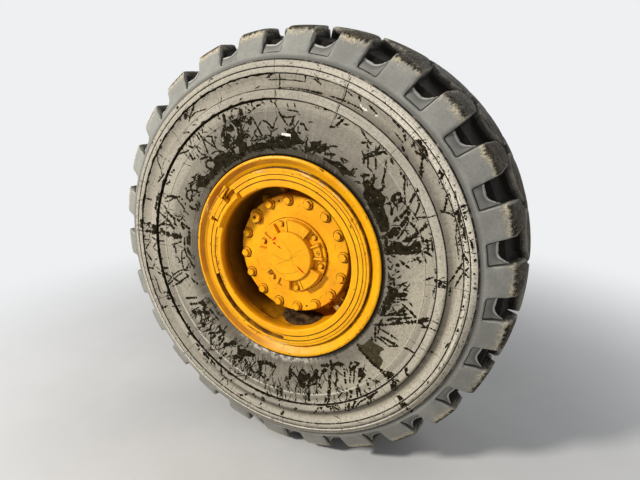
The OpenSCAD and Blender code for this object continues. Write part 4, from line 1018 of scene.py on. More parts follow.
# %% Scratches above, on the right
scratches((
    (6, 45, 657, 46.4, 667, 48.2, 677), (3, 48.5, 672, 51.9, 675), (2, 45, 647, 49.3, 652),
    (4, 56, 658, 59.7, 667), (7, 62, 662, 63.5, 677), (3, 64.6, 665, 67.2, 673),
    (3, 60, 637, 60.9, 644, 65.2, 642, 68.1, 640, 71.8, 637), (4, 74, 636, 90, 633),
    (2, 67.4, 720, 67.2, 650, 67.8, 600, 67.6, 570), (4, 75.1, 662, 77.6, 675, 79.6, 682),
    (4, 76, 675, 77.2, 678), (2, 80.6, 660, 86.2, 661, 90, 662, 93.2, 662), (4, 80.8, 685, 80.6, 658),
    (3, 89.4, 685, 89.5, 635), (6, 45.9, 585, 47.6, 582, 48.2, 567, 49.3, 550, 50.8, 525, 51.6, 512),
    (6, 48, 588, 49.6, 586, 49.4, 568, 48.6, 566), (4, 45, 520, 47.3, 542, 49.3, 560, 50.8, 580),
    (8, 46.8, 536, 47.6, 540), (4, 45, 507, 47.9, 507, 50.5, 535, 52.5, 555, 53.7, 565),
    (5, 49.8, 502, 51.6, 525, 53.7, 535), (5, 48.8, 572, 50.2, 555, 51.9, 525),
    (5, 52.2, 580, 53.7, 567, 55.7, 551), (4, 51.9, 570, 54.5, 575, 57.1, 585, 58.3, 591),
    (4, 62, 580, 64.3, 572), (5, 64.6, 590, 65.5, 570, 66.6, 550, 68.7, 541), (8, 65.2, 555, 66, 552),
    (4, 65.8, 590, 66.9, 577), (5, 70.4, 595, 75.9, 587), (9, 45, 495, 46.7, 480, 47.9, 467),
    (5, 45, 450, 47.3, 445, 48, 435), (5, 45, 462, 46.7, 475, 48, 465), (3, 50.5, 482, 51.6, 465),
    (4, 55.2, 477, 57.1, 472, 59.4, 470), (5, 56.5, 460, 59.4, 470), (3, 52.8, 422, 56, 435),
    (7, 62.3, 497, 65.8, 485), (6, 61.4, 470, 63.7, 460, 66.9, 450), (4, 81, 552, 82.2, 560, 86.3, 561),
    (7, 81, 553, 81.4, 550), (4, 82.5, 547, 83.4, 540, 86.5, 535, 89.1, 542),
    (6, 83.4, 540, 83.7, 520, 85.1, 505), (5, 82.4, 505, 83.6, 520),
    (4, 85.4, 505, 87.4, 525, 89.4, 550, 90, 565), (3, 83.7, 590, 82.8, 567), (3, 86.5, 585, 85.7, 567),
    (5, 76, 507, 77.3, 505, 78.8, 522, 80.8, 520), (6, 79, 487, 81, 492), (2, 74.7, 539, 77.3, 533),
))

# %% Scratches above, on the left
scratches((
    (4, 91.2, 682, 93.7, 667), (5, 104, 671, 104.7, 672), (8, 106.8, 671, 107.3, 674),
    (2, 96.2, 645, 98.4, 639), (4, 99.8, 631, 100.2, 632), (2, 90.6, 632, 90.6, 602),
    (4, 103.6, 620, 105.3, 612), (2, 111.5, 655, 112.8, 625), (6, 112.5, 682, 113.9, 692),
    (5, 111.9, 722, 114.1, 730), (3, 118.8, 642, 121.7, 652, 124.3, 660, 126.3, 657),
    (4, 122.3, 685, 124.3, 672, 126.6, 660, 128.4, 647), (9, 124.9, 695, 126.9, 685, 128.7, 667),
    (4, 126.6, 660, 127.2, 687), (7, 129.8, 684, 131.5, 687), (3, 124, 630, 125.2, 637),
    (3, 125.6, 620, 127.5, 632), (6, 130, 617, 131.3, 632, 132.7, 637), (8, 128.3, 730, 128.5, 717),
    (3, 90, 565, 91.7, 590), (4, 95.8, 592, 96.9, 582, 98.4, 580, 101, 567),
    (4, 101.3, 565, 102.7, 575, 103.8, 590), (5, 101.3, 565, 103.8, 557, 105.9, 547, 107.9, 540),
    (6, 101.1, 547, 102.7, 537, 104.4, 532, 106.2, 540, 107.9, 550, 110.2, 555, 111.9, 565),
    (5, 101.5, 547, 100.7, 525, 99.8, 505, 98.7, 480, 97.8, 465),
    (5, 92.6, 490, 94, 510, 95.5, 522, 97.5, 527), (3, 92.9, 475, 94, 490, 95.2, 507),
    (3, 97.5, 527, 99.8, 505), (4, 90, 540, 91.7, 515, 92.7, 490), (3, 90, 497, 92, 490, 94.3, 477),
    (4, 99.8, 505, 102.1, 487, 100.4, 465), (8, 94.9, 465, 96.6, 467, 97.8, 460),
    (4, 97.8, 460, 101, 465, 102.7, 460, 105.3, 467), (5, 104.7, 487, 106.2, 480, 107.9, 482, 109, 475),
    (3, 102.4, 480, 104.4, 467),
    (9, 106.2, 592, 105.6, 575, 106.2, 560, 107.3, 545, 107.9, 515, 107.9, 490),
    (5, 106.4, 587, 108.8, 595, 110.2, 580), (8, 113.1, 595, 113.7, 575, 113.9, 555),
    (5, 110.2, 553, 114, 563), (7, 113.9, 555, 115.7, 545, 117.1, 530, 118.8, 520),
    (4, 113.7, 547, 114.8, 530, 116, 517), (4, 114.8, 545, 116.5, 525, 118, 505),
    (18, 107.3, 520, 108.5, 540, 110.2, 545, 112.3, 537, 114.5, 515, 117.1, 495, 119, 472),
    (16, 107.4, 515, 108.2, 492, 109.6, 485, 112, 488), (6, 114, 485, 116, 474),
    (5, 116.8, 485, 119.2, 467), (5, 120.3, 467, 122.3, 480, 124.6, 492, 127.5, 495),
    (4, 117.7, 505, 121, 490), (4, 120.3, 530, 122.6, 545, 124.6, 560, 126.9, 567),
    (6, 122.3, 550, 123.2, 530, 123.8, 495), (5, 123.8, 505, 124.9, 525, 126, 547, 126.6, 565),
    (4, 124.2, 602, 125.6, 575), (5, 126.9, 597, 126.9, 565, 127.8, 530, 128.7, 505),
    (5, 128, 595, 128.5, 565), (6, 119.7, 562, 120.2, 552),
    (5, 129.8, 505, 131.5, 520, 131.8, 540, 131.5, 565), (6, 131.5, 565, 133, 565, 134.4, 590),
    (6, 133.6, 550, 133.8, 520), (6, 129.2, 495, 131.5, 505, 134.1, 515), (9, 129, 470, 129, 495),
    (5, 129.5, 470, 130.4, 485, 132.1, 490, 133.6, 475, 132.7, 455, 131, 452), (3, 130, 597, 131.2, 580),
    (3, 131.8, 600, 132.7, 585), (6, 115, 580, 116.3, 590), (4, 124.2, 540, 124.6, 543),
))

# %% Scratches on the left
scratches((
    (6, 143, 686, 144, 684), (12, 144.4, 722, 145.2, 724), (4, 143.7, 730, 145.1, 735, 148, 737),
    (4, 138.3, 722, 138.8, 724), (5, 140.8, 702, 142, 705),
    (4, 147, 680, 148.3, 677, 149.4, 660, 151.2, 640, 152.3, 635), (3, 146, 685, 145.8, 665, 146.3, 660),
    (3, 145, 645, 146.5, 648, 148.6, 645, 150.3, 638), (5, 152.9, 632, 153.5, 645),
    (5, 154.9, 661, 155.4, 664), (10, 157, 691, 157.8, 694), (6, 163.9, 690, 163.6, 668, 163.5, 654),
    (8, 164.6, 704, 164, 690), (10, 172, 708, 175.4, 708), (8, 176.4, 690, 176, 620),
    (3, 176.2, 724, 176.4, 690), (3, 177.1, 660, 179.1, 662), (4, 177.7, 647, 179.4, 620),
    (4, 179.4, 620, 178.9, 575), (3, 179.7, 710, 179.6, 655), (4, 144.8, 620, 145.7, 630),
    (4, 150.6, 625, 153.5, 633, 156.3, 645), (8, 159, 626, 163.8, 628, 167, 630),
    (4, 135, 575, 136.7, 580, 138.8, 595, 140.8, 605), (7, 135.9, 570, 137, 532), (4, 135, 530, 136.7,
     540), (6, 146.3, 587, 148.9, 596), (5, 151.5, 592, 152.6, 585, 154, 600),
    (4, 161.5, 590, 161, 575, 159.8, 560, 158, 547), (8, 157.5, 565, 157.5, 540, 156.3, 525, 155.3, 517),
    (5, 157.2, 530, 158.4, 515, 159.2, 495, 160.4, 482, 162.4, 484), (7, 155.8, 502, 156.9, 512),
    (5, 156.6, 485, 158.4, 484), (5, 163, 595, 164.1, 575, 165.6, 570, 167.3, 567, 168.2, 565),
    (7, 167.3, 600, 168.5, 570, 169.3, 550, 170.8, 535, 172.8, 522),
    (8, 165, 570, 166.2, 550, 167, 530, 167, 510, 167.6, 490, 168.5, 467, 169.3, 447, 170.5, 444, 174.8,
     441, 179.4, 441), (7, 171.9, 597, 171.1, 565, 170.8, 540, 171.9, 525),
    (4, 172.5, 600, 169.9, 575, 169.3, 550), (6, 166.7, 530, 168.2, 522, 169.6, 520, 170.5, 505),
    (11, 173.6, 600, 175.1, 575, 175.7, 540, 175.1, 525, 174.8, 505, 176.2, 505, 176, 535),
    (7, 175.4, 610, 175.1, 575), (2, 172.8, 525, 175.4, 525), (12, 173.1, 490, 176.5, 490),
    (8, 173.8, 452, 179.1, 451), (6, 174.8, 467, 180, 469),
    (5, 177.4, 482, 178.6, 500, 179.4, 520, 180, 540), (4, 178.6, 520, 180, 523),
    (4, 163.8, 485, 165.3, 486, 167, 495), (9, 165.8, 478, 166.4, 472),
    (7, 167.3, 490, 169.9, 480, 170.5, 465), (8, 142.2, 482, 143.7, 505),
    (4, 140, 490, 142.2, 492, 144.5, 485, 146.5, 495, 148, 505),
    (6, 145.7, 480, 147.4, 490, 149.1, 480, 151.2, 495, 153.5, 490, 154.9, 470, 153.5, 460, 152.3, 467,
     150.6, 467, 148.8, 475, 147.7, 455, 145.7, 457), (5, 149.4, 502, 151.2, 505),
    (8, 153.5, 490, 154.9, 485), (9, 157.2, 467, 157.8, 445, 156.6, 412), (5, 139.3, 412, 142.8, 404),
))

# %% Scratches below, on the left
scratches((
    (4, 180, 660, 182.9, 692), (5, 184, 695, 187.8, 667), (5, 190.1, 695, 191, 675, 188.9, 655),
    (3, 180, 622, 182.6, 647), (3, 182.4, 645, 183.8, 627), (3, 186.6, 630, 187.8, 650),
    (3, 188.9, 655, 191.5, 632), (6, 191, 650, 192.7, 645, 193.3, 630),
    (3, 193.6, 675, 196.2, 670, 200.2, 672, 201.4, 665), (6, 200.4, 668, 201.1, 667),
    (7, 205.1, 695, 207.4, 700), (5, 206.5, 692, 206.1, 660), (4, 201.9, 695, 202.2, 682),
    (6, 194.2, 705, 194.6, 707), (6, 198.7, 704, 200.8, 707), (6, 203, 705, 204.7, 708),
    (5, 202.5, 647, 202.6, 625), (8, 203.4, 647, 203.9, 615), (4, 207.1, 645, 207.4, 620, 208.3, 590),
    (8, 209.7, 620, 210.6, 602), (10, 217.4, 613, 218.6, 616), (5, 220.3, 705, 220.6, 701),
    (4, 210.4, 655, 210.8, 648), (6, 185.8, 620, 187.2, 600), (5, 192.1, 620, 191.1, 600, 190.7, 575),
    (6, 193, 620, 194.1, 590, 195.9, 565, 197.9, 540, 198.5, 525),
    (4, 197, 610, 196.2, 590, 195, 575, 193.8, 550, 192.7, 520, 192.4, 500, 193, 465),
    (4, 197.9, 610, 197.3, 585, 195.9, 560, 194.7, 535, 193.6, 505),
    (6, 199.3, 590, 198.8, 570, 198.5, 545, 197.3, 515, 196.2, 490, 196.2, 480, 194.1, 490),
    (10, 195.2, 486, 196, 483), (10, 197.8, 542, 198.3, 538), (4, 186.1, 575, 186.3, 562),
    (2, 192.7, 570, 194.7, 560), (7, 197, 467, 199, 460, 200.2, 450, 201.5, 440),
    (5, 194.6, 442, 196.7, 440), (4, 199.9, 495, 201, 487), (2, 202.2, 425, 203.1, 410),
    (6, 180, 535, 181.4, 520, 184.3, 520), (4, 185.8, 530, 186.1, 515, 188.1, 505, 188.7, 520),
    (8, 187.2, 508, 188, 506), (4, 182.2, 485, 185.8, 492, 187.2, 495, 191, 495, 192.4, 492),
    (3, 182.2, 485, 182.2, 465), (5, 186.9, 490, 185.8, 470),
    (6, 192.4, 490, 191.5, 475, 189.5, 460, 188.9, 455),
    (5, 180, 470, 181.7, 470, 185.2, 462, 186.6, 450, 189.2, 445),
    (9, 180, 455, 181.7, 452, 183.8, 445, 185.8, 430, 187.2, 427),
    (7, 187.2, 445, 189.5, 445, 191, 435, 192.7, 440), (7, 190.4, 455, 191.8, 457),
    (6, 206, 545, 206.8, 515, 208, 475), (7, 209.1, 545, 210, 515, 210.9, 490),
    (12, 213.2, 547, 214.6, 525, 215.8, 490, 218.7, 457), (4, 211.2, 530, 213.2, 547),
    (5, 214.6, 525, 216.9, 552), (5, 213.5, 515, 216.6, 507, 218.7, 520, 219.2, 540),
    (6, 219.8, 520, 220.7, 540), (4, 220.4, 525, 222.4, 515), (5, 220, 490, 221.8, 485, 223.8, 475),
    (6, 223, 490, 225, 510), (6, 220.4, 580, 221.5, 562, 222.4, 562), (5, 211.1, 588, 211.9, 585),
    (6, 212.5, 565, 212.9, 564),
    (7, 209.7, 440, 211.1, 425, 213.5, 417, 216.9, 415, 219.8, 422, 222.7, 420, 225, 410),
    (6, 216, 447, 220.4, 442, 225, 440), (3, 211.7, 440, 212.9, 437), (8, 225, 620, 226.4, 620, 227, 610),
    (12, 228.7, 620, 232.2, 615), (5, 237.4, 625, 239.7, 615), (5, 241.2, 622, 242.3, 617),
    (9, 243, 620, 247.5, 621), (5, 247.5, 622, 254.4, 619), (7, 245.6, 650, 245.8, 635),
    (8, 256.7, 642, 261, 652, 261.3, 640, 259.6, 637), (6, 259, 619, 268.3, 620),
    (6, 249.8, 697, 252.1, 677, 254.1, 657), (4, 259.3, 680, 260.5, 665), (9, 268.3, 690, 269.7, 662),
    (6, 268, 650, 267.8, 632), (5, 231.3, 595, 230.5, 570, 227.9, 540, 225.9, 515),
    (5, 230.8, 595, 232.2, 580, 234.5, 550, 236, 515), (6, 236.2, 595, 237.4, 580, 237.7, 555, 238.8, 535),
    (7, 233.1, 540, 233.3, 515, 233.1, 480), (9, 228.7, 540, 228.7, 505),
    (5, 225.6, 540, 226.7, 520, 228.7, 495, 229.3, 470), (5, 240, 535, 241.2, 547),
    (8, 245.2, 540, 246.3, 510, 246.9, 490, 246.3, 470), (6, 243.5, 565, 243.8, 540),
    (6, 243.5, 565, 245.8, 555), (12, 241.7, 460, 243.5, 480, 245.2, 480), (6, 246.6, 595, 248.7, 580),
    (5, 243.2, 595, 243.5, 580), (4, 245.2, 580, 246.1, 600), (6, 247.8, 567, 249.5, 560),
    (3, 248.7, 540, 249.8, 500), (4, 249.5, 540, 251.8, 500), (4, 250.7, 540, 252.7, 510, 254.1, 475),
    (5, 252.1, 520, 254.1, 540, 256.2, 520, 257.6, 510), (9, 255, 470, 256.7, 490, 257.6, 515, 258.2, 540),
    (6, 258.2, 540, 260.5, 535, 259.6, 515), (5, 260.5, 555, 262.5, 530), (5, 260.8, 595, 261, 555),
    (9, 264.5, 565, 264.6, 552), (6, 266.8, 600, 267, 550), (9, 268.3, 600, 268.6, 555),
))

# %% Scratches below, on the right
scratches((
    (9, 274.2, 648, 274.5, 637, 275.5, 635), (4, 281.8, 650, 283.6, 632, 285, 615),
    (4, 287.6, 650, 286.2, 630, 285.3, 620, 286.7, 617), (5, 291.3, 640, 290.5, 615),
    (2, 289.9, 655, 291.9, 672), (6, 295.1, 645, 296.2, 625, 297.7, 600, 299.7, 565, 300.3, 550),
    (7, 296.2, 645, 297.7, 620, 299.7, 595, 301.2, 570, 302.6, 570),
    (6, 297.4, 642, 298.8, 630, 300.6, 615, 302.6, 605, 304, 570, 305.5, 555),
    (4, 298.8, 640, 302.6, 620, 305.8, 615), (6, 303.7, 610, 304.9, 575, 305.8, 550),
    (5, 306.6, 635, 307.5, 620), (5, 308.9, 595, 309.5, 575, 310.4, 550),
    (5, 313, 595, 313.3, 575, 311.3, 545), (4, 314.7, 590, 313.6, 565),
    (8, 281.2, 595, 281.5, 570, 282.1, 545), (3, 275.2, 605, 275.5, 580), (4, 285, 595, 284.6, 575),
    (5, 287.3, 605, 289, 585, 289.3, 575),
    (8, 288.8, 610, 289.9, 595, 290.8, 565, 292.5, 540, 293.7, 510, 295.4, 485, 297.4, 465, 298.8, 455),
    (5, 289.9, 570, 291.3, 555, 293, 540), (4, 294.2, 585, 296.5, 570, 298.8, 555),
    (6, 295.1, 540, 296.5, 520, 297.7, 510, 298.8, 485, 300, 475),
    (6, 300.6, 540, 301.4, 520, 302.6, 500, 304, 475),
    (5, 302.6, 540, 304, 520, 305.5, 505, 306.3, 490, 307.5, 470), (4, 304, 545, 306.6, 515, 308, 500),
    (6, 306.3, 550, 308.4, 540, 311.3, 530), (8, 305.5, 495, 308, 490, 312.4, 485, 309.8, 465, 307.5, 475),
    (10, 301.7, 455, 305.2, 461), (10, 292, 440, 297.4, 446), (5, 297.4, 450, 299.7, 425),
    (10, 281.5, 535, 283.8, 500, 285.6, 495, 288.5, 465, 289.6, 450), (8, 283.8, 490, 284.4, 465),
    (12, 276.6, 560, 277.4, 554), (6, 275.2, 465, 277.2, 495, 277.8, 510), (6, 286.2, 490, 290.2, 455),
    (7, 288.5, 540, 287.9, 510), (5, 288.8, 500, 291, 475, 294, 465), (9, 291.3, 465, 295.4, 460),
    (5, 284.4, 560, 286.7, 548), (5, 282.4, 525, 287.3, 510), (9, 316.4, 740, 316.8, 720),
    (8, 318.2, 595, 318.5, 550, 317.7, 515, 317.6, 450, 318.8, 420),
    (6, 325.1, 635, 325, 615, 326.5, 607, 328.3, 595), (6, 325.8, 687, 328.3, 695),
    (5, 321.6, 695, 322, 694), (5, 328.8, 719, 329.2, 718), (10, 332.3, 605, 333.5, 597),
    (5, 333.5, 597, 333.2, 570, 332.6, 552), (7, 337, 647, 337.3, 637), (4, 340.5, 674, 342.7, 679),
    (3, 341.6, 665, 342.2, 667), (4, 332, 540, 329.1, 510, 329.3, 470, 328.8, 450),
    (6, 331.7, 535, 330.9, 490, 330.3, 465), (5, 333.9, 525, 333.9, 490, 333.5, 440),
    (5, 326.5, 467, 328.6, 450, 331.2, 440, 333.5, 430), (8, 325.8, 455, 327.3, 440),
    (5, 330.3, 455, 335.2, 440, 338.9, 440),
    (7, 332.9, 417, 335.2, 440, 337.2, 465, 339.5, 485, 342.1, 515, 343.8, 540, 345.6, 570, 347, 590),
    (4, 343.8, 590, 345, 565, 343.8, 555), (7, 347.9, 590, 346.2, 565, 345, 565),
    (5, 345.6, 550, 347.3, 525, 348.5, 500, 349.6, 485), (4, 342.4, 525, 345, 507, 346.7, 495),
    (6, 338.7, 455, 341, 470, 342.7, 495, 345.6, 535), (5, 340.4, 440, 342.4, 460, 344.1, 490, 346.4, 520),
    (6, 343.8, 480, 346.7, 490, 348.5, 500), (5, 342, 450, 345, 480, 347.6, 510),
    (3, 349.6, 525, 351.3, 510), (7, 351.9, 505, 351.1, 480, 350.5, 465),
    (10, 354.2, 500, 352.8, 475, 351.6, 460), (6, 356.5, 495, 355.1, 480), (5, 357.7, 485, 356.8, 455),
    (5, 359.4, 495, 357.4, 470), (6, 350, 480, 349, 465), (6, 356, 450, 359.4, 445, 360, 430),
    (8, 356.2, 435, 358, 434), (8, 358.3, 427, 360, 435), (5, 354.8, 590, 357.7, 585, 359.7, 590),
    (10, 359.1, 600, 360, 625), (5, 354.9, 562, 355.4, 564), (5, 346.7, 692, 348.2, 688),
    (4, 349.9, 685, 350.5, 677), (7, 351, 688, 351.6, 687), (6, 353.3, 684, 355.4, 688),
    (5, 357.4, 685, 357.9, 684), (4, 354.5, 625, 355.4, 615), (4, 356.8, 637, 360, 638),
    (3, 348.5, 622, 348.2, 612), (5, 342, 632, 342.4, 631),
))

# %% [markdown]
# Between the marks that can be told apart are families of like ones. They are drawn by chance within
# limits: angles and radii that they start in, and how far they lean from the radial direction.

# %% Families of scratches
for count, angles, radii, length, lean, width in (
        (26, (103, 112), (440, 540), 30, (-60, 60), 3), (30, (117, 141), (450, 560), 34, (-50, 50), 2),
        (16, (160, 186), (424, 570), 30, (-35, 45), 3), (170, (212, 300), (410, 520), 44, (-45, 45), 2.6),
        (50, (225, 300), (490, 560), 40, (-40, 40), 2.2), (20, (7, 36), (440, 560), 40, (-10, 65), 2.4),
        (26, (60, 100), (396, 450), 30, (55, 90), 3.4), (30, (86, 150), (396, 450), 30, (50, 100), 3.4),
        (24, (338, 358), (400, 470), 26, (10, 50), 3), (90, (-18, 46), (652, 690), 6, (-90, 90), 3),
        (40, (46, 345), (650, 690), 6, (-90, 90), 2.4)):
    scatter(scrapes, count, angles, radii, length, lean, width)
for count, angles, radii, size in ((22, (212, 300), (412, 500), 8), (9, (100, 112), (450, 545), 7),
                                   (8, (222, 262), (580, 612), 6), (10, (4, 22), (656, 668), 4)):
    splatter(scrapes, count, angles, radii, size)
print("with the families:", len(scrapes.faces), "faces")

# %% Torn creases, partly painted shadow
# Radius, first and last angle, width where narrow and where wide, length of the spikes, and 1 where
# they point outwards
for row in ((570.5, 86, 216, 5, 15, 16), (570.5, 212, 276, 1, 10, 12), (569.5, 276, 314, 0.4, 6, 10),
            (569.5, 2, 70, 0.6, 6, 9), (600.5, 296, 314, 0.4, 7, 12), (649.8, 86, 208, 4, 11, 8),
            (649.8, 4, 60, 0.6, 6, 6), (670.4, -16, 46, 0.6, 4, 4, 1)):
    torn_crease_and_shadow(scrapes, *row)
print("all scrapes:", len(scrapes.faces), "faces")

# %% The finishes of the marks
def film_finish(name, low, high, roughness):
    f = Finish(name, roughness, shine=0.04)
    f.bump(f.noise(500.0, 4.0, 0.6), 0.0004, 0.6)
    return f.done(f.mix(f.ramp(f.noise(60.0, 5.0, 0.65), 0.35, 0.65), low, high))


bare_rubber_and_shadow = film_finish("bare_rubber_and_shadow", (0.006, 0.0045, 0.002), (0.024, 0.019, 0.009), 0.75)
scrapes.piece("scrapes", bare_rubber_and_shadow)
splash = Film()
patch(splash, behind((317.9, 535, 318.2, 545, 320.2, 537, 322.2, 532, 322.9, 507, 324.5, 502, 326.5, 505,
                      326.8, 495, 325.8, 470, 326, 445, 324.5, 440, 320.8, 440, 318.8, 430, 317.9, 450,
                      317.7, 500)), holes=0.8, ragged=1.6, fringe=1)
splash.piece("old_splash", film_finish("dried_splash", (0.036, 0.029, 0.014), (0.062, 0.05, 0.028), 0.75))
pale = Film(0.5)
scratch(pale, behind((55.7, 656, 56.6, 651)), 5)
scratch(pale, behind((59, 649, 61, 649, 62.1, 657)), 6)
patch(pale, behind((83.9, 471, 84.2, 480, 88.4, 482, 88.6, 473)), holes=0.9, ragged=0.8, fringe=0)
pale.piece("pale_dabs", film_finish("dry_mud", (0.62, 0.58, 0.5), (0.8, 0.78, 0.72), 0.9))

# %% [markdown]
# ## Paint
# The rim and hub are painted one yellow. The paint is thick and a little uneven, rubbed pale on the
# edges, chipped to brown, and dirt gathers in its corners; the corners are also painted darker as
# shade. Two nodes find those places. Normals that are rounded over an edge differ from the flat ones
# there, so their difference marks edges.
# Ambient occlusion is low where little open space is near, so it marks corners and narrow gaps.

# %% Edges and corners
def edges_of(f, radius):
    """Normals rounded over that radius at edges, and how much they differ from the flat ones."""
    soft = f.node("Bevel", {"Radius": radius}, samples=6).outputs["Normal"]
    flat = f.node("NewGeometry").outputs["Normal"]
    same = f.node("VectorMath", {0: soft, 1: flat}, operation="DOT_PRODUCT").outputs["Value"]
    return soft, f.math("SUBTRACT", 1.0, same)


def corners_of(f, distance, open_at, closed_at):
    """1 in corners and gaps narrower than the distance, and 0 on open faces."""
    open_share = f.node("AmbientOcclusion", {"Distance": distance}, samples=8).outputs["AO"]
    return f.ramp(open_share, open_at, closed_at)


# %% Paint
def painted(name, colour, deeper, dirt, cast, worn_to=(0.06, 0.03, 0.015), wear=0.5, dirty=0.5, gap=0.009):
    """Worn paint, painted darker as shade in its corners. It returns the finish, its colour so far and its
    roughness, for others to add to.
    """
    f = Finish(name, roughness=0.5, shine=0.2)
    soft, edge = edges_of(f, 0.0016)
    f.height = soft
    broad = f.noise(7.0, 5.0, 0.6)
    middle = f.noise(45.0, 5.0, 0.65)
    fine = f.noise(420.0, 3.0, 0.6)
    tone = f.mix(f.ramp(broad, 0.3, 0.7), colour, deeper)
    tone = f.mix(f.ramp(middle, 0.52, 0.8, 0.0, 0.6), tone, deeper)
    film = f.ramp(f.noise(16.0, 7.0, 0.72), 0.5, 0.75, 0.0, dirty)
    tone = f.mix(film, tone, dirt)
    pale_edge = f.both(f.ramp(edge, 0.01, 0.08), f.ramp(middle, 0.38, 0.55, 0.1, 0.6))
    tone = f.mix(pale_edge, tone, (0.96, 0.52, 0.04))
    # Near black in corners and narrow gaps: packed grime, and painted shade
    grime_and_shade = f.both(corners_of(f, gap, 0.86, 0.5), f.ramp(fine, 0.2, 0.6, 0.6, 1.0))
    tone = f.mix(f.both(grime_and_shade, 0.92), tone, (0.035, 0.014, 0.004))
    chips = f.ramp(f.noise(75.0, 6.0, 0.7), 0.67, 0.69)
    rubbed = f.both(f.ramp(edge, 0.04, 0.14), f.ramp(middle, 0.56, 0.62), wear)
    lost = f.math("MAXIMUM", rubbed, f.both(chips, 0.9))
    tone = f.mix(lost, tone, worn_to)
    f.bump(f.noise(150.0, 4.0, 0.6), cast, 0.6)
    f.bump(fine, 0.00015, 0.5)
    f.bump(lost, -0.0004, 0.7)
    dull = f.math("ADD", f.both(film, 0.35), f.both(grime_and_shade, 0.3))
    rough_paint = f.math("ADD", f.ramp(broad, 0.3, 0.7, 0.36, 0.5), dull)
    return f, tone, rough_paint


# %% The rim's paint
def rim_finish():
    f, tone, rough_paint = painted("rim_paint", (0.88, 0.42, 0.003), (0.76, 0.31, 0.003), (0.4, 0.17, 0.02),
                                   0.0003, dirty=0.35, gap=0.007)
    # Brown inside the barrel: rust stains here and there, and all over on the left side, where it is a painted
    # shade; less on the lower right, where the light reaches in
    brown = f.mix(f.ramp(f.noise(22.0, 6.0, 0.7), 0.35, 0.65), (0.16, 0.055, 0.004), (0.06, 0.024, 0.005))
    left_side = f.ramp(f.math("ABSOLUTE", f.angle), 1.7, 2.4)
    inner = f.both(f.ramp(f.radius, 0.296, 0.284), f.ramp(f.out, 0.636, 0.6))
    stained = f.ramp(f.noise(9.0, 5.0, 0.65), 0.3, 0.6, 0.15, 0.8)
    less_on_lit_lower_right = f.ramp(f.towards(303.67), 0.8, 0.97, 1.0, 0.2)
    tone = f.mix(f.both(inner, less_on_lit_lower_right, f.math("MAXIMUM", stained, f.both(left_side, 0.9))), tone, brown)
    # Near black deep in the barrel beside the cover, on the right: a painted shadow
    shadow_beside_cover = f.both(f.ramp(f.towards(20.05), 0.3, 0.75), f.ramp(f.out, 0.585, 0.555))
    tone = f.mix(f.both(shadow_beside_cover, f.ramp(f.radius, 0.296, 0.288), 0.92), tone, (0.014, 0.008, 0.003))
    gaps = f.math("MAXIMUM", f.ring(0.2975, 0.0012, 0.002), f.ring(0.3161, 0.0008, 0.0016))
    gaps = f.math("MAXIMUM", gaps, f.ring(0.3392, 0.001, 0.003))
    gaps = f.both(gaps, f.ramp(f.noise(30.0, 4.0, 0.6), 0.3, 0.6, 0.35, 0.95))
    tone = f.mix(gaps, tone, (0.07, 0.028, 0.008))
    shaded = f.both(f.ramp(f.towards(166.16), -0.45, 0.4), f.ring(0.3625, 0.0065, 0.004))
    shaded = f.both(shaded, f.ramp(f.noise(8.0, 5.0, 0.6), 0.3, 0.6, 0.55, 0.85))
    tone = f.mix(shaded, tone, (0.3, 0.085, 0.002))
    run_off = f.ramp(f.noise(1.0, 4.0, 0.65, f.polar(14.0, 44.0, 6.0)), 0.56, 0.72, 0.0, 0.6)
    tone = f.mix(f.both(run_off, f.ramp(f.radius, 0.3, 0.32)), tone, (0.5, 0.2, 0.012))
    inboard = f.ramp(f.out, 0.42, 0.36)
    inboard = f.both(inboard, f.ramp(f.noise(11.0, 6.0, 0.7), 0.3, 0.55, 0.4, 0.92))
    tone = f.mix(inboard, tone, (0.14, 0.115, 0.08))
    return f.done(tone, rough_paint)


# %% The hub's and the axle's paint
def hub_finish():
    f, tone, rough_paint = painted("hub_paint", (0.88, 0.415, 0.003), (0.77, 0.32, 0.003),
                                   (0.46, 0.2, 0.015), 0.0009, dirty=0.35, wear=0.35, gap=0.0055)
    scored = f.noise(1.0, 2.0, 0.5, f.polar(700.0, 3.0, 20.0))
    tone = f.mix(f.ramp(scored, 0.62, 0.7, 0.0, 0.35), tone, (0.62, 0.24, 0.01))
    return f.done(tone, rough_paint)


def axle_finish():
    f, tone, rough_paint = painted("axle_paint", (0.085, 0.082, 0.078), (0.05, 0.048, 0.046),
                                   (0.16, 0.13, 0.095), 0.0012, worn_to=(0.12, 0.055, 0.025),
                                   wear=0.6, dirty=0.9)
    caked = f.ramp(f.noise(6.0, 7.0, 0.7), 0.48, 0.62)
    tone = f.mix(f.both(caked, 0.85), tone, (0.19, 0.15, 0.105))
    f.bump(f.both(caked, f.noise(60.0, 5.0, 0.7)), 0.004, 0.7)
    return f.done(tone, f.math("ADD", rough_paint, f.both(caked, 0.3)))


# %% Bare metal and seals
def bare_finish(name, colour, roughness, metallic=1.0, rust=0.3):
    f = Finish(name, roughness, metallic)
    soft, edge = edges_of(f, 0.001)
    f.height = soft
    lathe = f.noise(1.0, 3.0, 0.6, f.polar(900.0, 2.0, 900.0))
    tone = f.mix(f.ramp(lathe, 0.3, 0.7), colour, tuple(c * 0.7 for c in colour))
    spots = f.ramp(f.noise(40.0, 6.0, 0.7), 0.52, 0.62)
    tone = f.mix(f.both(spots, rust), tone, (0.16, 0.06, 0.02))
    f.bump(lathe, 0.0001, 0.6)
    return f.done(tone, f.math("ADD", roughness, f.both(spots, 0.3)))


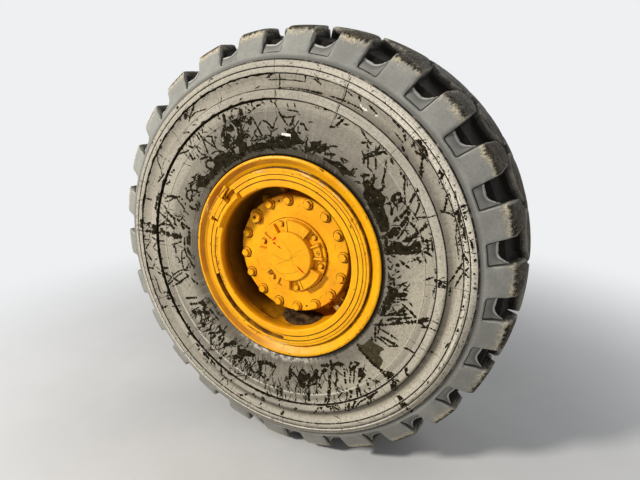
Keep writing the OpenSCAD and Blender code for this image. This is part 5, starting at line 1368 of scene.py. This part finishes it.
# %% Finishes for the CAD pieces
finishes = {
    "rim_paint": rim_finish(),
    "hub_paint": hub_finish(),
    "axle_paint": axle_finish(),
    "bare_steel": bare_finish("bare_steel", (0.42, 0.4, 0.38), 0.38, rust=0.5),
    "brass": bare_finish("brass", (0.62, 0.42, 0.16), 0.35, rust=0.3),
    "seal_rubber": bare_finish("seal_rubber", (0.03, 0.03, 0.03), 0.6, 0.0, 0.1),
}
for name, part in cad.items():
    kinds = [slot.material.name.split(".")[0] if slot.material else "none" for slot in part.material_slots]
    print(name, kinds, end="; ")
    if name == "tyre":
        continue
    for slot in part.material_slots:
        base = slot.material.name.split(".")[0] if slot.material else ""
        slot.material = finishes.get(base, finishes["rim_paint"])
print()

# %% [markdown]
# ## Marker strokes, grime, knocks and a clod
# Small things make a rim look used: strokes of a red marker on the hub cap, scratches round it,
# grime packed beside the bolts, chips along the flange, and paler scuffs where stones rubbed it.
# Beside the bolts and the hub cap there are also painted shadows, on the side away from the light.
# They lie on pieces that come from the CAD, whose faces bend and step, so each point of a mark is
# dropped on those pieces from outside.

# %% Surfaces and paths for them
def outermost(names):
    """A surface for a film: how far out the named CAD pieces reach at points of the wheel's plane."""
    points, faces = [], []
    for name in names:
        start = len(points)
        points += [v.co.copy() for v in cad[name].data.vertices]
        faces += [tuple(start + i for i in p.vertices) for p in cad[name].data.polygons]
    tree = BVHTree.FromPolygons(points, faces)

    def reach(radius, angle):
        hits = [tree.ray_cast(Vector(p), Vector((0, 1, 0)))[0] for p in place(radius, angle, 2000.0)]
        return np.array([-1.0 if hit is None else -hit.y * 1000 for hit in hits])
    return reach


def straight(*ends):
    """The angles and radii of a line through points given as right and up, in millimetres."""
    across, up = np.array(ends, float).T
    t, k = np.linspace(0, len(ends) - 1, 3 * len(ends)), np.arange(len(ends))
    x, z = np.interp(t, k, across), np.interp(t, k, up)
    return list(zip(np.degrees(np.unwrap(np.arctan2(z, x))), np.hypot(x, z)))


on_cap = outermost(["hub_cap", "carrier_cover", "planet_housing"])
on_cover = outermost(["carrier_cover", "cover_bolts", "drain_plug", "hub_cap", "cap_bolts"])
on_rim = outermost(["outer_flange", "bead_seat_band", "lock_ring", "rim_base", "driver_key"])
print("hub cap: its face is", round(float(on_cap([0.0], [0.0])[0]), 1), "mm out")

# %% Marker strokes on the hub cap
red_marker = film_finish("red_marker", (0.6, 0.012, 0.008), (0.42, 0.008, 0.006), 0.6)
marker = Film(0.1, on_cap)
for width, *ends in ((6, (-47, 76), (-60, 61)), (6, (-69, 57), (-58, 65)), (11, (-62, 53), (-50, 42)),
                     (4.5, (-45, 41), (-28, 30)), (4.5, (37, -29), (55, -44), (72, -57))):
    scratch(marker, straight(*ends), width, 0.3)
marker.piece("marker_strokes", red_marker, "hub_paint")

# %% Scratches on the hub cap and cover
scored_paint = film_finish("scored_paint", (0.42, 0.16, 0.008), (0.6, 0.25, 0.01), 0.6)
scored = Film(0.05, on_cap)
for ends in (((-55, -38), (-20, -20), (45, 18)), ((0, -8), (30, 20), (62, 38)),
             ((-70, 10), (-40, -6), (10, -14)), ((-20, 60), (10, 20), (24, -30)),
             ((-82, -30), (-50, -60), (-10, -80)), ((-30, -70), (20, -60), (60, -35))):
    scratch(scored, straight(*ends), 1.4, 0.6)
for k in range(26):
    a, r = chance.uniform(0, 6.28), chance.uniform(152, 206)
    across, up, turn = r * math.cos(a), r * math.sin(a), chance.uniform(0, 6.28)
    size = chance.uniform(8, 34)
    end = (across + size * math.cos(turn), up + size * math.sin(turn))
    scratch(scored, straight((across, up), end), 1.3, 0.5)
scored.piece("hub_scores", scored_paint, "hub_paint")

# %% Grime round the bolts, and painted shadows beside them
COVER_BOLTS, COVER_BOLT_CIRCLE, BESIDE_WASHER = 16, 210.0, 20.3
DRAIN_PLUG_AT, BESIDE_PLUG = 6, 28.5       # the drain plug takes the place of this bolt, from 0
FIRST_BOLT = 4.4                           # degrees
CAP_BOLTS, CAP_BOLT_CIRCLE, BESIDE_CAP_BOLT = (40, 109, 160, 229, 280, 349), 127.0, 11.6
BESIDE_CAP = 145.2


def arc(middle_angle, middle_radius, radius, first, last):
    """Angles and radii along a part of a small circle round a bolt."""
    a = math.radians(middle_angle)
    made = []
    for k in range(13):
        t = math.radians(first + (last - first) * k / 12)
        x = middle_radius * math.cos(a) + radius * math.cos(t)
        y = middle_radius * math.sin(a) + radius * math.sin(t)
        turn = (math.degrees(math.atan2(y, x)) - middle_angle + 180) % 360 - 180
        made.append((middle_angle + turn, math.hypot(x, y)))
    return made


grime_and_shadow = Film(0.15, on_cover)
for k in range(COVER_BOLTS):
    angle = FIRST_BOLT + 360 / COVER_BOLTS * k
    outer = BESIDE_PLUG if k == DRAIN_PLUG_AT else BESIDE_WASHER
    for part in range(3):
        first = chance.uniform(-90, 200)
        turn = arc(angle, COVER_BOLT_CIRCLE, outer, first, first + chance.uniform(120, 200))
        scratch(grime_and_shadow, turn, 1.3, 0.1)
    # A wider dark arc on the right of each washer: a painted shadow
    scratch(grime_and_shadow, arc(angle, COVER_BOLT_CIRCLE, outer + 0.8, -110, 60), 2.6, 0.1)
for angle in CAP_BOLTS:
    # On the right of each cap bolt a painted shadow, and a thin line of grime on its other side
    for first, last, width in ((-110, 60, 2.6), (40, 230, 1.2)):
        scratch(grime_and_shadow, arc(angle, CAP_BOLT_CIRCLE, BESIDE_CAP_BOLT, first, last), width, 0.1)
# Along the hub cap's lower right a painted shadow, and a thin line of grime on its upper left
for first, last, width in ((-80, 26, 3.2), (-60, 4, 5.0), (100, 190, 1.2)):
    scratch(grime_and_shadow, [(turn, BESIDE_CAP) for turn in range(first, last, 4)], width, 0.1)
grime_and_shadow_finish = film_finish("grime_and_shadow_finish", (0.02, 0.008, 0.002), (0.07, 0.028, 0.005), 0.8)
grime_and_shadow.piece("bolt_grime_and_shadow", grime_and_shadow_finish, "hub_paint")

# %% Chips on the rim
chips, scuffs = Film(0.25, on_rim), Film(0.3, on_rim)
for k in range(150):
    a = chance.uniform(0, 360)
    r = chance.choice((chance.uniform(372, 384), chance.uniform(296, 306), chance.uniform(316, 345)))
    size = chance.uniform(2, 7)
    spot = [(a, r), (a + chance.uniform(-1, 1), r + size * chance.uniform(-0.5, 0.5)), (a + size / 5, r)]
    scratch(chips, spot, chance.uniform(1.2, 3.4))
for k in range(60):
    a, r = chance.uniform(168, 208), chance.uniform(284.5, 292)
    spot = [(a, r), (a + chance.uniform(-0.8, 0.8), r + chance.uniform(1, 4)), (a + 0.6, r + 1)]
    scratch(chips, spot, chance.uniform(1.4, 4))
for width, *path in ((5, (57, 378), (61, 380)), (4, (63, 376), (66, 378)), (4, (29, 309), (31.5, 311)),
                     (1.6, (269, 335), (269.4, 350), (268.6, 365)), (3, (240, 333), (252, 331)),
                     (3, (232, 345), (232, 354)), (2.4, (248, 344), (248.4, 355)), (4, (178, 297), (181, 299))):
    scratch(chips, path, width, 0.6)
chipped_paint = film_finish("chipped_paint", (0.05, 0.018, 0.006), (0.16, 0.065, 0.012), 0.7)
chips.piece("rim_chips", chipped_paint, "rim_paint")

# %% Scuffs on the rim
for width, *path in ((6, (47, 335), (53, 336)), (5, (60, 331), (64, 333)), (7, (68, 330), (77, 333)),
                     (4, (70, 337), (80, 339)), (7, (254, 331), (263, 329)), (5, (262, 335), (272, 332)),
                     (5, (48, 378), (54, 380)), (4, (100, 331), (108, 333)), (4, (150, 366), (156, 364))):
    for part in range(4):
        off = chance.uniform(-3, 3)
        rubbed = [(a + chance.uniform(-1.5, 1.5), r + off) for a, r in path]
        scratch(scuffs, rubbed, width * chance.uniform(0.2, 0.5), 0.8)
rubbed_paint = film_finish("rubbed_paint", (0.88, 0.55, 0.14), (0.62, 0.42, 0.2), 0.7)
scuffs.piece("rim_scuffs", rubbed_paint, "rim_paint")

# %% [markdown]
# Dried mud has been caught inside the barrel, and lies at its bottom as one lumpy clod. It is a
# grid on the barrel's wall, raised in the middle, and its outline sinks a little into the wall.

# %% The clod in the barrel
BARREL_R = 283.0
ROUND, ALONG = 30, 22                      # faces round the barrel, and along it
CLOD_MIDDLE, CLOD_HALF_TURN, CLOD_SKEW = 272.5, 18.5, 3.0              # degrees
CLOD_BEHIND_LIP, CLOD_HALF_LENGTH, CLOD_HEIGHT = 141, 74, 27           # millimetres
clod_points, clod_faces = [], []
for i in range(ALONG + 1):
    for j in range(ROUND + 1):
        s, t = 2 * i / ALONG - 1, 2 * j / ROUND - 1
        angle = math.radians(CLOD_MIDDLE + CLOD_HALF_TURN * t + CLOD_SKEW * s)
        out = LIP - CLOD_BEHIND_LIP + CLOD_HALF_LENGTH * s
        lumps = (0.5 + 0.45 * noise.noise(Vector((s * 2.2, t * 3.1, 4)))
                 + 0.3 * noise.noise(Vector((s * 6, t * 9, 8))))
        dome = max(0.0, 1 - (s * s + t * t * (1 + 0.3 * s))) ** 0.6
        height = CLOD_HEIGHT * dome * max(0.15, lumps) if dome > 0 else -1.5
        clod_points.append(place(BARREL_R - height, angle, out))
clod_faces = [(k, k + 1, k + ROUND + 2, k + ROUND + 1) for i in range(ALONG) for j in range(ROUND)
              for k in [i * (ROUND + 1) + j]]
f = Finish("caught_mud", roughness=0.9, shine=0.12)
f.bump(f.noise(90.0, 6.0, 0.75), 0.006, 0.8)
f.done(f.mix(f.ramp(f.noise(30.0, 6.0, 0.7), 0.35, 0.65), (0.02, 0.011, 0.004), (0.11, 0.062, 0.024)))
clod = mesh_piece("mud_clod", np.array(clod_points), clod_faces, f.material, smooth=50)
print("clod:", len(clod_faces), "faces")

# %% [markdown]
# ## Studio
# A pale floor touches the tyre. One soft light stands high on the left, outside the wheel, as the
# sun did, and dim surroundings fill the shadows. The camera sees the surroundings pale: its rays,
# and those that reflections follow, get the backdrop's colour. The camera stands where the
# photographer stood: on the right of the wheel, looking down at it a little.

# %% The floor
BACKDROP = (0.86, 0.87, 0.88)
FLOOR_HALF = 60.0


def seen_rays(tree):
    """1 for rays from the camera, and for those that a glossy or clear surface sends on, else 0."""
    rays = tree.nodes.new("ShaderNodeLightPath").outputs
    seen = rays["Is Camera Ray"]
    for kind in ("Is Glossy Ray", "Is Transmission Ray"):
        either = tree.nodes.new("ShaderNodeMath")
        either.operation = "MAXIMUM"
        tree.links.new(seen, either.inputs[0])
        tree.links.new(rays[kind], either.inputs[1])
        seen = either.outputs[0]
    return seen


def pale_floor():
    """Pale, and far away it is seen in the backdrop's own colour, so no horizon shows."""
    f = Finish("floor", 0.9, shine=0.0)
    distance = f.node("VectorMath", {0: f.where}, operation="LENGTH").outputs["Value"]
    far = f.ramp(distance, 1.1, 3.2)
    hidden = f.both(far, seen_rays(f.tree))
    f.put(f.shader.inputs["Emission Color"], BACKDROP)
    f.put(f.shader.inputs["Emission Strength"], hidden)
    near = f.mix(f.ramp(f.noise(3.0, 4.0), 0.3, 0.7), (0.64, 0.635, 0.62), (0.61, 0.605, 0.59))
    return f.done(f.mix(hidden, near, (0.0, 0.0, 0.0)))


floor_mesh = bpy.data.meshes.new("floor")
corners = [(x * FLOOR_HALF, y * FLOOR_HALF, -TYRE_R / 1000) for x, y in ((-1, -1), (1, -1), (1, 1), (-1, 1))]
floor_mesh.from_pydata(corners, [], [(0, 1, 2, 3)])
floor = bpy.data.objects.new("floor", floor_mesh)
bpy.context.scene.collection.objects.link(floor)
floor_mesh.materials.append(pale_floor())
floor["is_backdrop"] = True
print("floor at", round(floor_mesh.vertices[0].co.z, 3), "m")


# %% Light
def soft_light(name, at, aim, size, power, colour=(1.0, 1.0, 1.0)):
    data = bpy.data.lights.new(name, "AREA")
    data.shape, data.size, data.energy, data.color = "DISK", size, power, colour
    made = bpy.data.objects.new(name, data)
    made.location = at
    made.rotation_mode = "QUATERNION"
    made.rotation_quaternion = (Vector(aim) - Vector(at)).to_track_quat("-Z", "Y")
    bpy.context.scene.collection.objects.link(made)
    print("light:", name, power, "W,", size, "m across")


soft_light("key", (-2.5, -4.23, 2.5), (0, -0.3, 0), 0.7, 300, (1.0, 0.97, 0.93))
soft_light("fill", (3.2, -3.0, 1.4), (0, -0.3, 0), 3.0, 25)
soft_light("back", (1.5, 3.5, 3.0), (0, -0.2, 0), 3.0, 60)

# %% Surroundings
world = bpy.data.worlds.new("surroundings")
bpy.context.scene.world = world
world.use_nodes = True
sky = world.node_tree
background = sky.nodes["Background"]
shade = sky.nodes.new("ShaderNodeMix")
shade.data_type = "RGBA"
shade.inputs[6].default_value = (0.21, 0.22, 0.24, 1)
shade.inputs[7].default_value = (*BACKDROP, 1)
sky.links.new(seen_rays(sky), shade.inputs[0])
sky.links.new(shade.outputs[2], background.inputs["Color"])

# %% Camera
camera_data = bpy.data.cameras.new("camera")
camera_data.lens = 27.0
camera_data.sensor_width = 36.0
camera = bpy.data.objects.new("camera", camera_data)
camera.location = CAMERA_AT
camera.rotation_euler = (math.radians(74.4), 0, math.radians(25.1))
bpy.context.scene.collection.objects.link(camera)
bpy.context.scene.camera = camera
bpy.context.scene.view_settings.view_transform = "Standard"
print("camera:", round(camera.location.length, 2), "m from the middle of the axle's end")

# %% Measure the dressed part
size = {"cad": cad_box, "visual": [list(corner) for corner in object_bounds()]}
print("sizes:", [[round(x, 4) for x in corner] for corner in size["cad"]],
      [[round(x, 4) for x in corner] for corner in size["visual"]])
